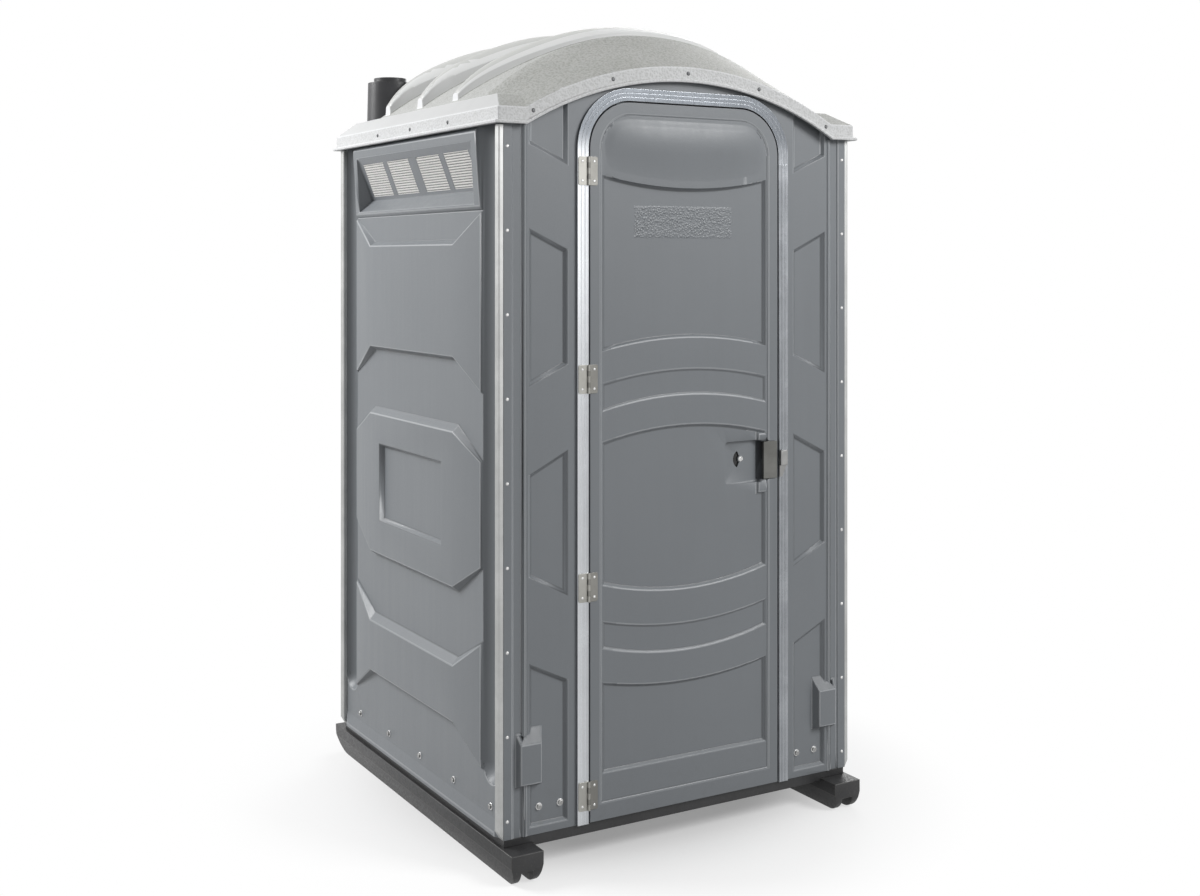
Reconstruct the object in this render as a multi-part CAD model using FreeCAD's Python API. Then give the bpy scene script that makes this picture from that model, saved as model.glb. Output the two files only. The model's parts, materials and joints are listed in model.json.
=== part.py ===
import FreeCAD, Part
import math
import os

V = FreeCAD.Vector

# Portable toilet cabin, millimetres. +Z is up, the door side faces -Y and the origin lies on
# the ground under the middle of the cabin. Heights named _z are above the foot of the walls,
# unless a note says that they are above the ground.

# Ground, floor and walls
cabin_width = 1120.0
cabin_depth = 1140.0
sheet = 4.0
skid_height = 81.0
pan_rise = 20.0
pan_sag = 8.0
pan_margin = 3.0
upstand_height = 95.0
upstand_wall = 5.0
seat_gap = 0.3

# Skids
skid_reach = 60.0
skid_width = 92.0
skid_overhang = 7.0
skid_upright = 33.0
skid_tuck = 13.0
skid_nose_radius = 40.0
skid_tail_radius = 76.0
channel_width = 39.0
channel_height = 26.0
channel_draft = 2.0

# Corner mouldings
bead_out = 14.0
bead_width = 24.0
bead_round = 5.0
leg_thickness = 3.0
leg_width = 22.0
trim_end_cut = 25.0
trim_top_z = 1838.0
rivet_pitch = 217.0
rivet_first_z = 47.0
rivet_count = 9
rivet_inset = 11.0
rivet_radius = 5.0
rivet_height = 2.4

# Raised forms of the side and rear walls
panel_rise = 20.0
panel_end_rise = 6.0
panel_margin_side = 113.0
panel_margin_rear = 110.0
panel_flank = 150.0
panel_end_run = 6.0
flute_width = 97.0
flute_depth = 25.0
flute_margin = 16.0
flute_foot_z = 124.0
flare_rise = 8.0
flare_top_z = 45.0
flare_flat_z = 10.0
flare_margin = 19.0
flare_run = 14.0

# Vent housing near the top of each side wall
vent_margin = 111.0
vent_low_z = 1620.0
vent_high_z = 1858.0
vent_face_low = 12.0
vent_face_high = 30.0
vent_rise_low = 8.0
vent_side_run = 11.0
vent_mouth_margin = 40.0
screen_low_z = 1686.0
screen_high_z = 1784.0
screen_plane_z = 1808.5
screen_slope = 0.384
vent_back_z = 1676.0
vent_sill_z = 1637.0
screen_bar = 34.0
screen_middle_bar = 58.0
screen_thickness = 1.6
screen_inset = 1.9
screen_slots = 9
slot_height = 5.0
slot_margin = 7.0

# Front wall
channel_margin = 25.0
groove_width = 30.0
channel_depth = 4.0
ridge_width = 13.0
ridge_rise = 3.0
sunk_frame_gap = 26.0
sunk_margin = 75.0
sunk_depth = 10.0
sunk_draft = 8.0
lug_margin = 38.0
lug_width = 72.0
lug_low_z = 131.0
lug_high_z = 262.0
lug_rise = 14.0
lug_side_run = 6.0
lug_top_run = 22.0

# Door frame
frame_inner_half = 312.5
frame_inner_top = 1917.0
frame_inner_radius = 132.0
frame_face = 33.5
frame_stand = 8.0
frame_wall = 3.0
frame_groove = 1.0
frame_groove_width = 2.0
header_joint_z = 1762.0
stop_width = 12.5
wall_cut_gap = 8.0

# Door
door_gap = 4.5
door_foot_z = 3.0
door_depth = 36.0
inner_skin = 3.7
rim_width = 31.0
rim_step = 3.0
rim_draft = 4.0
rim_foot_z = 47.0
dome_rise = 8.0
dome_margin = 5.0
dome_peak_z = 1800.0
dome_low_side = 1716.0
dome_low_mid = 1686.0
panel_margin = 9.0
door_panel_depth = 8.0
door_panel_draft = 7.0
band_depth = 4.0
band_draft = 5.0

# Latch
latch_x = 194.0
latch_z = 928.0
pocket_left = 132.0
pocket_right = 255.0
pocket_low_z = 860.0
pocket_high_z = 980.0
pocket_depth = 10.0
pocket_corner = 14.0
well_left = 246.0
well_right = 300.0
well_low_z = 868.0
well_high_z = 976.0
well_depth = 19.0
plateau_left = 241.0
plateau_low_z = 828.0
plateau_high_z = 1002.0
plate_left = 259.0
plate_right = 306.0
plate_low_z = 870.0
plate_high_z = 975.0
plate_thickness = 1.5
plate_fold = 8.0
spindle_radius = 6.0
spindle_play = 0.05
spindle_head_radius = 8.0
spindle_head = 3.0
window_inner = 9.5
window_outer = 26.0
window_half_angle = 62.0
dial_radius = 32.0
dial_thickness = 2.0
bolt_travel = 22.0
bolt_height = 24.0
bolt_thickness = 8.0
bolt_tail = 150.0
bolt_tip = 292.0
case_left = 120.0
case_right = 284.0
case_height = 64.0
case_wall = 4.0
bolt_play = 0.3
lever_length = 74.0
lever_width = 20.0
lever_thickness = 12.0
keeper_width = 24.0
keeper_low_z = 872.0
keeper_high_z = 948.0
keeper_plate = 2.5
keeper_lug_height = 44.0
keeper_lug_out = 11.0
keeper_round = 4.5

# Hinges
hinge_x = -314.0
hinge_heights = (75.0, 625.0, 1175.0, 1725.0)
hinge_height = 76.0
hinge_leaf = 2.0
hinge_frame_reach = 30.0
hinge_door_reach = 28.0
knuckle_radius = 3.9
hinge_pin_radius = 2.0
hinge_play = 0.05
knuckle_count = 5
knuckle_gap = 0.3
hinge_rivet_radius = 4.0
hinge_rivet_height = 1.8
hinge_rivet_end = 12.0

# Bolts along the foot of the walls
bolt_z = 67.0
side_bolt_count = 5
side_bolt_front = 66.0
side_bolt_rear = 140.0
end_bolt_share = 0.66
wall_bolt_radius = 4.0
wall_bolt_head = 7.0
wall_bolt_head_height = 5.0
wall_bolt_inside = 8.0
hole_play = 0.2
washer_radius = 9.5
washer_thickness = 1.5
skid_bolt_margin = 130.0
skid_bolt_cover = 3.0

# Roof
roof_side_reach = 22.0
roof_end_reach = 13.0
roof_sheet = 4.0
lip_side = 10.0
lip_end = 7.0
lip_height = 9.0
skirt_low_z = 1840.0
skirt_rise = 44.0
skirt_crown = 136.0
skirt_arch_margin = 60.0
band_rise = 41.0
band_inset = 37.0
band_end_run = 83.0
vault_margin = 30.0
vault_crown_z = 2127.0
vault_front_margin = 176.0
vault_rear_margin = 140.0
rib_places = (385.0, 632.0, 877.0)
rib_lean = (-72.0, -27.0, -9.0)
rib_rise = (40.0, 55.0, 56.0)
rib_end_rise = 0.55
rib_half_width = 134.0
rib_spread = 0.6
rib_end_width = 24.0
rib_margin = 42.0
rib_end_wall = 2.0
rib_chords = 6
roof_screws_side = (-275.0, -15.0, 230.0)
roof_screw_margin = 80.0
roof_screw_lift = 25.0
roof_screw_radius = 2.5
roof_screw_head = 6.0
roof_screw_head_height = 2.5

# Vent stack
stack_margin = 89.0
stack_back = 145.0
stack_radius = 51.5
stack_wall = 3.5
stack_play = 0.5
stack_top_z = 2060.0
boot_top_z = 2045.0
boot_radius_top = 70.0
boot_radius_foot = 73.0
boot_foot_z = 1915.0
stack_dip = 10.0

# Waste tank and seat
tank_side_gap = 3.0
tank_back_gap = 25.0
tank_length = 460.0
tank_height = 430.0
tank_toe = 45.0
tank_wall = 6.0
seat_back = 255.0
seat_hole_x = 118.0
seat_hole_y = 143.0
ring_x = 185.0
ring_y = 195.0
ring_bore_x = 112.0
ring_bore_y = 137.0
ring_thickness = 22.0
lid_thickness = 14.0
lid_gap = 0.5
seat_pin_radius = 5.0
seat_pin_play = 0.05
seat_pin_back = 48.0
seat_pin_lift = 3.0
seat_lug_radius = 10.0
ring_lug = (60.0, 82.0)
lid_lug = (84.0, 106.0)
ear = (107.0, 117.0)
lid_open_angle = 97.0

# Urinal
urinal_gap = 185.0
urinal_plate_low_z = 459.0
urinal_plate_high_z = 760.0
urinal_half = 130.0
urinal_reach = 170.0
urinal_rim_z = 640.0
urinal_foot_half = 60.0
urinal_foot_reach = 80.0
urinal_wall = 5.0
drain_radius = 16.0
drain_sides = 16
drain_wall = 2.5
drain_bend = 55.0
drain_z = 330.0
drain_out = 62.0

# Paper holder
paper_gap = 160.0
paper_z = 499.0
roll_radius = 55.0
roll_core = 20.0
roll_length = 100.0
roll_gap = 4.0
roll_play = 0.08
holder_plate = 3.0
holder_reach = 90.0
holder_height = 90.0
holder_stub = 8.0
holder_axis_reach = 62.0

# Places worked out from the sizes above
half_width = cabin_width / 2
half_depth = cabin_depth / 2
skid_length = cabin_depth + 2 * skid_reach
wall_foot = skid_height + pan_rise
side_half = half_depth - sheet - leg_thickness
side_inner = half_width - sheet
end_inner = half_depth - sheet
channel_out = half_width - channel_margin
channel_in = channel_out - groove_width
sunk_in = frame_inner_half + frame_face + sunk_frame_gap
sunk_out = half_width - sunk_margin
lug_out = half_width - lug_margin
lug_in = lug_out - lug_width
flute_centre = side_half - flute_margin - flute_width / 2
flare_half = side_half - flare_margin
vent_half = side_half - vent_margin
vent_mouth_half = vent_half - vent_mouth_margin
roof_half = half_width + roof_side_reach
roof_skirt_y = half_depth + roof_end_reach
skirt_arch_half = half_width - skirt_arch_margin
skirt_top_z = skirt_low_z + skirt_rise
vault_half = half_width - vault_margin
vault_front_y = vault_front_margin - half_depth
vault_rear_y = half_depth - vault_rear_margin
rib_end_half = half_width - rib_margin
frame_front = half_depth + frame_stand
door_half = frame_inner_half - door_gap
door_top_z = frame_inner_top - door_gap
door_radius = frame_inner_radius - door_gap
door_back = frame_front - door_depth - inner_skin
stop_front = door_back - seat_gap
stop_back = stop_front - frame_wall
field_floor = -rim_step
panel_floor = -rim_step - door_panel_depth
pocket_floor = panel_floor - pocket_depth
well_floor = panel_floor - well_depth
hinge_y = -(frame_front + knuckle_radius + seat_gap)
tank_top = wall_foot + tank_height
ring_low = tank_top + seat_gap
lid_low = ring_low + ring_thickness + lid_gap
seat_pin_z = ring_low + ring_thickness + seat_pin_lift
tank_half = half_width - flute_depth - sheet - tank_side_gap
tank_back_y = half_depth - tank_back_gap
tank_front_y = tank_back_y - tank_length
seat_y = tank_back_y - seat_back
seat_pin_y = tank_back_y - seat_pin_back
stack_x = stack_margin - half_width
stack_y = tank_back_y - stack_back
urinal_y = tank_front_y - urinal_gap
paper_y = tank_front_y - paper_gap

# Flat sides of the small fasteners and of their holes
peg_sides = 12

# How far the inner face of a drafted form is drawn in, as a share of the sheet
draft_share = 0.6
backing = 70.0
far = 2000.0


def at_foot(z):
    return wall_foot + z


def box(xs, ys, zs):
    return Part.makeBox(xs[1] - xs[0], ys[1] - ys[0], zs[1] - zs[0], V(xs[0], ys[0], zs[0]))


def face(points):
    corners = [V(*point) for point in points]
    return Part.Face(Part.makePolygon(corners + corners[:1]))


def prism(points, along):
    return face(points).extrude(V(*along))


def through(sections):
    # A solid with flat sides that runs through a row of outlines with equal corner counts
    sides = [face(sections[0]), face(sections[-1])]
    for first, second in zip(sections, sections[1:]):
        for i in range(len(first)):
            j = (i + 1) % len(first)
            sides.append(face([first[i], first[j], second[j], second[i]]))
    shell = Part.makeShell(sides)
    shell.sewShape()
    solid = Part.makeSolid(shell)
    return solid if solid.Volume > 0 else solid.reversed()


def inset(points, distance):
    # A convex outline, listed anticlockwise, with each side moved in
    sides = []
    for i in range(len(points)):
        (x0, y0), (x1, y1) = points[i], points[(i + 1) % len(points)]
        length = math.hypot(x1 - x0, y1 - y0)
        shift = (-(y1 - y0) * distance / length, (x1 - x0) * distance / length)
        sides.append((x0 + shift[0], y0 + shift[1], x1 - x0, y1 - y0))
    corners = []
    for i in range(len(sides)):
        x0, y0, dx0, dy0 = sides[i - 1]
        x1, y1, dx1, dy1 = sides[i]
        reach = ((x1 - x0) * dy1 - (y1 - y0) * dx1) / (dx0 * dy1 - dy0 * dx1)
        corners.append((x0 + dx0 * reach, y0 + dy0 * reach))
    return corners


def level(points, height):
    return [(x, y, height) for x, y in points]


def raised(points, rise, run, root=8.0, base=0.0):
    # A drafted boss whose outline is given where it leaves the surface
    foot = inset(points, -run * root / rise)
    top = inset(points, run)
    return through([level(foot, base - root), level(top, base + rise)])


def sunk(points, depth, run, mouth=4.0, base=0.0):
    # A drafted recess, as the solid that is cut away
    floor = inset(points, run)
    top = inset(points, -run * mouth / depth)
    return through([level(floor, base - depth), level(top, base + mouth)])


def rectangle(left, right, low, high):
    return [(left, low), (right, low), (right, high), (left, high)]


def moulded(form, thickness=sheet):
    # A thermoformed sheet: the outer form less the same form drawn in and moved back
    inner = form(thickness)
    inner.translate(V(0, 0, -thickness))
    return form(0.0).cut(inner)


def drill(shape, places, radius, start, stop):
    # Round holes along the local z axis
    for x, y in places:
        shape = shape.cut(Part.makeCylinder(radius, stop - start, V(x, y, start)))
    return shape


def peg(radius, height, place, along, top_radius=None):
    # A small shank or head with flats, light enough to repeat many times
    rings = []
    for reach, z in ((radius, 0.0), (top_radius or radius, height)):
        turns = [math.tau * i / peg_sides for i in range(peg_sides)]
        rings.append([(reach * math.cos(turn), reach * math.sin(turn), z) for turn in turns])
    solid = through(rings)
    solid.Placement = FreeCAD.Placement(V(*place), FreeCAD.Rotation(V(0, 0, 1), V(*along)))
    return solid


def fastener_holes(shape, places, radius, along, length):
    # Clearance holes that start at each place and run along the given direction
    for place in places:
        shape = shape.cut(peg(radius + hole_play, length, place, along))
    return shape


def mirrored(shape, axis):
    return shape.mirror(V(0, 0, 0), V(*axis))


def arch_z(x, half, edge, crown):
    # Height of a circular arch at x
    rise = crown - edge
    radius = (half * half + rise * rise) / (2 * rise)
    return crown - radius + math.sqrt(max(radius * radius - x * x, 0.0))


def bent(points):
    # A closed face from straight sides, and arcs where a triple gives start, middle and end
    edges = []
    for part in points:
        ends = [V(*point) for point in part]
        if len(ends) == 3:
            edges.append(Part.Arc(*ends).toShape())
        else:
            edges.append(Part.LineSegment(*ends).toShape())
    return Part.Face(Part.Wire(edges))


# Side and rear walls, drawn flat: x along the wall, y up from the foot, z outwards

def pillow(half, tops, bottoms, top_run, bottom_run, o):
    # A raised panel with a flat middle, sloping flanks and narrow ledges above and below
    root = 8.0
    stations = [
        (half + panel_end_run, -2.0, 1.0),
        (half, panel_end_rise, 1.0),
        (half - panel_flank, panel_rise, 0.0),
    ]
    sections = []
    for side in (-1, 1):
        for reach, rise, share in stations if side < 0 else reversed(stations):
            drawn = (reach - o * draft_share) if share else reach
            top = tops[0] + (tops[1] - tops[0]) * share - o * draft_share
            bottom = bottoms[0] + (bottoms[1] - bottoms[0]) * share + o * draft_share
            slope_up = top_run / panel_rise
            slope_down = bottom_run / panel_rise
            u = side * drawn
            sections.append([
                (u, bottom - slope_down * root, -root),
                (u, bottom + slope_down * rise, rise),
                (u, top - slope_up * rise, rise),
                (u, top + slope_up * root, -root),
            ])
    return through(sections)


def wall_panels(form, half, o):
    form = form.fuse(pillow(half, (1545.0, 1620.0), (1217.0, 1137.0), 13.0, 10.0, o))
    form = form.fuse(pillow(half, (1042.0, 961.0), (588.0, 676.0), 19.0, 15.0, o))
    form = form.fuse(pillow(half, (411.0, 485.0), (225.0, 150.0), 22.0, 12.0, o))
    reach = half / 2
    window = inset(rectangle(-reach, reach, 703.0, 935.0), -o * draft_share)
    return form.cut(sunk(window, 15.0, 9.0, base=panel_rise))


def flare(o):
    # The foot of the wall turns out over the floor pan
    slope = (flare_top_z - flare_flat_z) / flare_rise
    sections = []
    for u, rise in ((-flare_half, 0.0), (flare_run - flare_half, flare_rise),
                    (flare_half - flare_run, flare_rise), (flare_half, 0.0)):
        sections.append([
            (u, 0.0, -6.0),
            (u, 0.0, rise),
            (u, flare_top_z - slope * rise, rise),
            (u, flare_top_z + slope * 6.0, -6.0),
        ])
    return through(sections)


def flute(side, o):
    # A scooped channel beside the corner, closed at the foot by a ball end
    radius = (flute_width ** 2 / 4 + flute_depth ** 2) / (2 * flute_depth)
    cutter = radius + 0.3 * o
    centre = V(side * flute_centre, flute_foot_z + flute_width / 2, radius - flute_depth)
    barrel = Part.makeCylinder(cutter, far, centre, V(0, 1, 0))
    return barrel.fuse(Part.makeSphere(cutter, centre))


def vent_rise(v):
    # The housing's face leans back towards its foot
    low = vent_low_z + vent_face_low
    high = vent_high_z - vent_face_high
    return vent_rise_low + (panel_rise - vent_rise_low) * (v - low) / (high - low)


def vent_housing(o):
    drawn = o * draft_share
    foot = inset(rectangle(-vent_half, vent_half, vent_low_z, vent_high_z), drawn)
    low = vent_low_z + vent_face_low
    high = vent_high_z - vent_face_high
    reach_low = vent_half - vent_side_run * vent_rise_low / panel_rise - drawn
    reach_high = vent_half - vent_side_run - drawn
    top = [(-reach_low, low + drawn, vent_rise_low), (reach_low, low + drawn, vent_rise_low),
           (reach_high, high - drawn, panel_rise), (-reach_high, high - drawn, panel_rise)]
    return through([level(foot, 0.0), top])


def vent_pocket(o):
    # A three-cornered trough whose back carries the screens and whose sill sheds the rain
    mouth = panel_rise + 4.0
    back_h = panel_rise - (screen_plane_z - vent_back_z) * screen_slope
    sill_h = vent_rise(vent_sill_z)
    sill_run = (vent_back_z - vent_sill_z) / (sill_h - back_h)
    outline = [
        (screen_plane_z + (mouth - panel_rise) / screen_slope, mouth),
        (vent_back_z, back_h),
        (vent_sill_z - sill_run * (mouth - sill_h), mouth),
    ]
    half = vent_mouth_half + o
    return prism([(-half, v, h) for v, h in outline], (2 * half, 0, 0))


def screen_edges():
    # Four windows with equal bars beside them and a wider bar in the middle
    width = (vent_mouth_half - screen_middle_bar / 2 - 2 * screen_bar) / 2
    inner = screen_middle_bar / 2
    outer = inner + width + screen_bar
    right = [(inner, inner + width), (outer, outer + width)]
    return [(-b, -a) for a, b in reversed(right)] + right


def side_top():
    # The wall reaches the underside of the roof's side band
    run = roof_half - roof_sheet - half_width
    return skirt_top_z - roof_sheet + run * band_rise / band_inset - seat_gap


def side_outline():
    # The upper corners follow the slope of the roof's end bands
    top = side_top()
    slope = band_rise / band_end_run
    corner = skirt_top_z - roof_sheet - seat_gap + (roof_skirt_y - roof_sheet - side_half) * slope
    knee = side_half - (top - corner) / slope
    return [(-side_half, 0.0), (side_half, 0.0), (side_half, corner), (knee, top), (-knee, top),
            (-side_half, corner)]


def side_form(o):
    form = prism(level(side_outline(), -backing), (0, 0, backing))
    form = wall_panels(form, side_half - panel_margin_side, o)
    form = form.fuse(vent_housing(o)).fuse(flare(o))
    for side in (-1, 1):
        form = form.cut(flute(side, o))
    return form.cut(vent_pocket(o))


def side_bolts():
    first = side_bolt_front - side_half
    pitch = (2 * side_half - side_bolt_front - side_bolt_rear) / (side_bolt_count - 1)
    return [first + pitch * i for i in range(side_bolt_count)]


def make_side_wall():
    wall = moulded(side_form)
    for left, right in screen_edges():
        wall = wall.cut(box((left, right), (screen_low_z, screen_high_z), (-backing, panel_rise)))
    bolts = [(y, bolt_z, -backing) for y in side_bolts()]
    wall = fastener_holes(wall, bolts, wall_bolt_radius, (0, 0, 1), 2 * backing)
    screws = [(y, skirt_low_z + roof_screw_lift, -backing) for y in roof_screws_side]
    return fastener_holes(wall, screws, roof_screw_radius, (0, 0, 1), 2 * backing)


def make_vent_screens():
    # Four slotted screens that lie in the windows of the sloping panel
    screens = []
    for left, right in screen_edges():
        corners = []
        for v, depth in ((screen_low_z, screen_inset + screen_thickness), (screen_low_z, screen_inset),
                         (screen_high_z, screen_inset), (screen_high_z, screen_inset + screen_thickness)):
            corners.append((left, v, panel_rise - (screen_plane_z - v) * screen_slope - depth))
        screen = prism(corners, (right - left, 0, 0))
        pitch = (screen_high_z - screen_low_z) / (screen_slots + 0.5)
        for i in range(screen_slots):
            low = screen_low_z + pitch * (i + 0.5)
            slot = box((left + slot_margin, right - slot_margin), (low, low + slot_height),
                       (-backing, panel_rise))
            screen = screen.cut(slot)
        screens.append(screen)
    return Part.makeCompound(screens)


def stand_side(shape):
    # From the flat drawing to the right side of the cabin
    shape.rotate(V(0, 0, 0), V(1, 1, 1), 120)
    shape.translate(V(half_width, 0, wall_foot))
    return shape


def stand_front(shape):
    shape.rotate(V(0, 0, 0), V(1, 0, 0), 90)
    shape.translate(V(0, -half_depth, wall_foot))
    return shape


def stand_rear(shape):
    stand_front(shape)
    shape.rotate(V(0, 0, 0), V(0, 0, 1), 180)
    return shape


# Front and rear walls

def end_top_face(low):
    # The wall's outline: straight sides and an arched top under the roof
    slope = (vault_crown_z - skirt_low_z - skirt_crown - skirt_rise) / (vault_front_y + roof_skirt_y)
    run = roof_skirt_y - roof_sheet - half_depth
    crown = skirt_low_z + skirt_crown + skirt_rise - roof_sheet + slope * run - 2 - seat_gap
    edge = skirt_top_z - roof_sheet - seat_gap
    half = skirt_arch_half - roof_sheet
    return bent([
        [(-half_width, 0, low), (half_width, 0, low)],
        [(half_width, 0, low), (half_width, edge, low)],
        [(half_width, edge, low), (half, edge, low)],
        [(half, edge, low), (0, crown, low), (-half, edge, low)],
        [(-half, edge, low), (-half_width, edge, low)],
        [(-half_width, edge, low), (-half_width, 0, low)],
    ])


def corner_mouldings_of(form, side, o):
    # A ridge and a shallow channel run beside the riveted flange
    share = o * draft_share
    ridge = [(channel_in - ridge_width + share, 0), (channel_in - share, 0)]
    run = ridge_rise + 1.0
    outline = [(ridge[0][0] - 2, -2), (ridge[0][0] + run, ridge_rise), (ridge[1][0] - run, ridge_rise),
               (ridge[1][0] + 2, -2)]
    form = form.fuse(prism([(side * x, 0, h) for x, h in outline], (0, skirt_low_z, 0)))
    outline = [(channel_in - share - 2, 2), (channel_in + channel_depth - share, -channel_depth),
               (channel_out - channel_depth + share, -channel_depth), (channel_out + share + 2, 2)]
    return form.cut(prism([(side * x, -1, h) for x, h in outline], (0, far + 200, 0)))


def front_form(o):
    form = end_top_face(-backing).extrude(V(0, 0, backing))
    shapes = (
        [(sunk_in, 1741.0), (sunk_out, 1792.0), (sunk_out, 2150.0), (sunk_in, 2150.0)],
        [(sunk_in, 1216.0), (sunk_out, 1163.0), (sunk_out, 1571.0), (sunk_in, 1517.0)],
        [(sunk_in, 610.0), (sunk_out, 668.0), (sunk_out, 932.0), (sunk_in, 990.0)],
        [(sunk_in, 20.0), (sunk_out, 20.0), (sunk_out, 443.0), (sunk_in, 388.0)],
    )
    for side in (-1, 1):
        form = corner_mouldings_of(form, side, o)
        for outline in shapes:
            if side < 0:
                outline = [(-x, y) for x, y in reversed(outline)]
            form = form.cut(sunk(inset(outline, -o * draft_share), sunk_depth, sunk_draft))
        form = form.fuse(corner_lug(side, o))
    return form


def corner_lug(side, o):
    outline = rectangle(lug_in, lug_out, lug_low_z, lug_high_z)
    foot = inset(outline, o * draft_share)
    top = inset(rectangle(lug_in + lug_side_run, lug_out - lug_side_run, lug_low_z + lug_side_run,
                          lug_high_z - lug_top_run), o * draft_share)
    root = sunk_depth + 4.0
    low = [(x0 + (x0 - x1) * root / lug_rise, y0 + (y0 - y1) * root / lug_rise)
           for (x0, y0), (x1, y1) in zip(foot, top)]
    sections = [level(low, -root), level(top, lug_rise)]
    if side < 0:
        sections = [[(-x, y, z) for x, y, z in reversed(outline)] for outline in sections]
    return through(sections)


def arched(half, low, high, radius, plane):
    # A doorway outline: straight foot and sides, rounded upper corners
    turn = radius * (1 - math.sqrt(0.5))
    return bent([
        [(-half, low, plane), (half, low, plane)],
        [(half, low, plane), (half, high - radius, plane)],
        [(half, high - radius, plane), (half - turn, high - turn, plane), (half - radius, high, plane)],
        [(half - radius, high, plane), (radius - half, high, plane)],
        [(radius - half, high, plane), (turn - half, high - turn, plane), (-half, high - radius, plane)],
        [(-half, high - radius, plane), (-half, low, plane)],
    ])


def end_bolt_places():
    first = sunk_in + sunk_draft + washer_radius + seat_gap
    second = first + (sunk_out - first) * end_bolt_share
    return [(side * x, bolt_z) for side in (-1, 1) for x in (first, second)]


def end_screw_places():
    reach = half_width - roof_screw_margin
    return [(reach * share, skirt_edge(reach * share) + roof_screw_lift) for share in (-1, -0.5, 0, 0.5, 1)]


def end_holes(wall):
    bolts = [(x, z, -backing) for x, z in end_bolt_places()]
    wall = fastener_holes(wall, bolts, wall_bolt_radius, (0, 0, 1), 2 * backing)
    screws = [(x, z, -backing) for x, z in end_screw_places()]
    return fastener_holes(wall, screws, roof_screw_radius, (0, 0, 1), 2 * backing)


def skirt_edge(x):
    return arch_z(x, skirt_arch_half, skirt_low_z, skirt_low_z + skirt_crown)


def make_front_wall():
    wall = moulded(front_form)
    cut = arched(frame_inner_half + wall_cut_gap, -1.0, frame_inner_top + wall_cut_gap,
                 frame_inner_radius + wall_cut_gap, -backing)
    return end_holes(wall.cut(cut.extrude(V(0, 0, backing + 20))))


def rear_form(o):
    form = end_top_face(-backing).extrude(V(0, 0, backing))
    form = wall_panels(form, half_width - panel_margin_rear, o)
    for side in (-1, 1):
        form = corner_mouldings_of(form, side, o)
    return form


def make_rear_wall():
    return end_holes(moulded(rear_form))


# Corner mouldings, drawn at the front right corner

def make_corner_trim():
    low = wall_foot
    high = at_foot(trim_top_z)
    front = -half_depth + 1.0
    bead = box((half_width, half_width + bead_out), (front, front + bead_width), (low, high))
    edges = [edge for edge in bead.Edges
             if all(vertex.X > half_width + 1 for vertex in edge.Vertexes)
             and abs(edge.Vertexes[0].Z - edge.Vertexes[1].Z) > 1]
    bead = bead.makeFillet(bead_round, edges)
    corner = [(half_width, front - 1, low), (half_width + bead_out + 1, front - 1, low),
              (half_width + bead_out + 1, front - 1, low + trim_end_cut)]
    bead = bead.cut(prism(corner, (0, bead_width + 2, 0)))
    leg = box((half_width - leg_width, half_width), (-end_inner, -side_half), (low, high))
    return bead.fuse(leg)


def rivet_heights():
    return [rivet_first_z + rivet_pitch * i for i in range(rivet_count)]


def button(radius, height, place, along):
    # A low domed head, as a flat-topped cone
    return peg(radius, height, place, along, radius * 0.55)


def make_trim_rivets():
    rivets = []
    for end in (-1, 1):
        for side in (-1, 1):
            for z in rivet_heights():
                place = (side * (half_width - rivet_inset), end * half_depth, at_foot(z))
                rivets.append(button(rivet_radius, rivet_height, place, (0, end, 0)))
    return Part.makeCompound(rivets)


# Skids and floor pan

def skid_bar(section):
    # A bar of this cross-section in x and z, with the skid's rounded nose and tail
    half = skid_length / 2
    bar = prism([(x, -half, z) for x, z in section], (0, skid_length, 0))
    nose = skid_nose_radius
    tail = skid_tail_radius
    bend = 1 - math.sqrt(0.5)
    side_view = bent([
        [(0, -half, skid_height), (0, -half, nose)],
        [(0, -half, nose), (0, nose * bend - half, nose * bend), (0, nose - half, 0)],
        [(0, nose - half, 0), (0, half - tail, 0)],
        [(0, half - tail, 0), (0, half - tail * bend, tail * bend), (0, half, tail)],
        [(0, half, tail), (0, half, skid_height)],
        [(0, half, skid_height), (0, -half, skid_height)],
    ])
    side_view.translate(V(half_width + skid_overhang - skid_width - 1, 0, 0))
    return bar.common(side_view.extrude(V(skid_width + 2, 0, 0)))


def make_skid():
    # A beam on two runners, so that the channel between them stays open for contact too
    outer = half_width + skid_overhang
    inner = outer - skid_width
    middle = skid_middle()
    shoulder = skid_height - skid_upright
    tuck = skid_tuck * (shoulder - channel_height) / shoulder
    beam = skid_bar([
        (inner, shoulder), (inner + tuck, channel_height), (outer - tuck, channel_height),
        (outer, shoulder), (outer, skid_height), (inner, skid_height),
    ])
    places = [(middle, y, 0) for y in skid_bolts()]
    solids = [fastener_holes(beam, places, wall_bolt_radius, (0, 0, 1), skid_height + 1)]
    for side, edge in ((-1, inner), (1, outer)):
        solids.append(skid_bar([
            (edge - side * tuck, channel_height), (edge - side * skid_tuck, 0),
            (middle + side * channel_width / 2, 0),
            (middle + side * (channel_width / 2 - channel_draft), channel_height),
        ]))
    return Part.makeCompound(solids)


def skid_bolts():
    reach = half_depth - skid_bolt_margin
    return (-reach, 0.0, reach)


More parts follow.
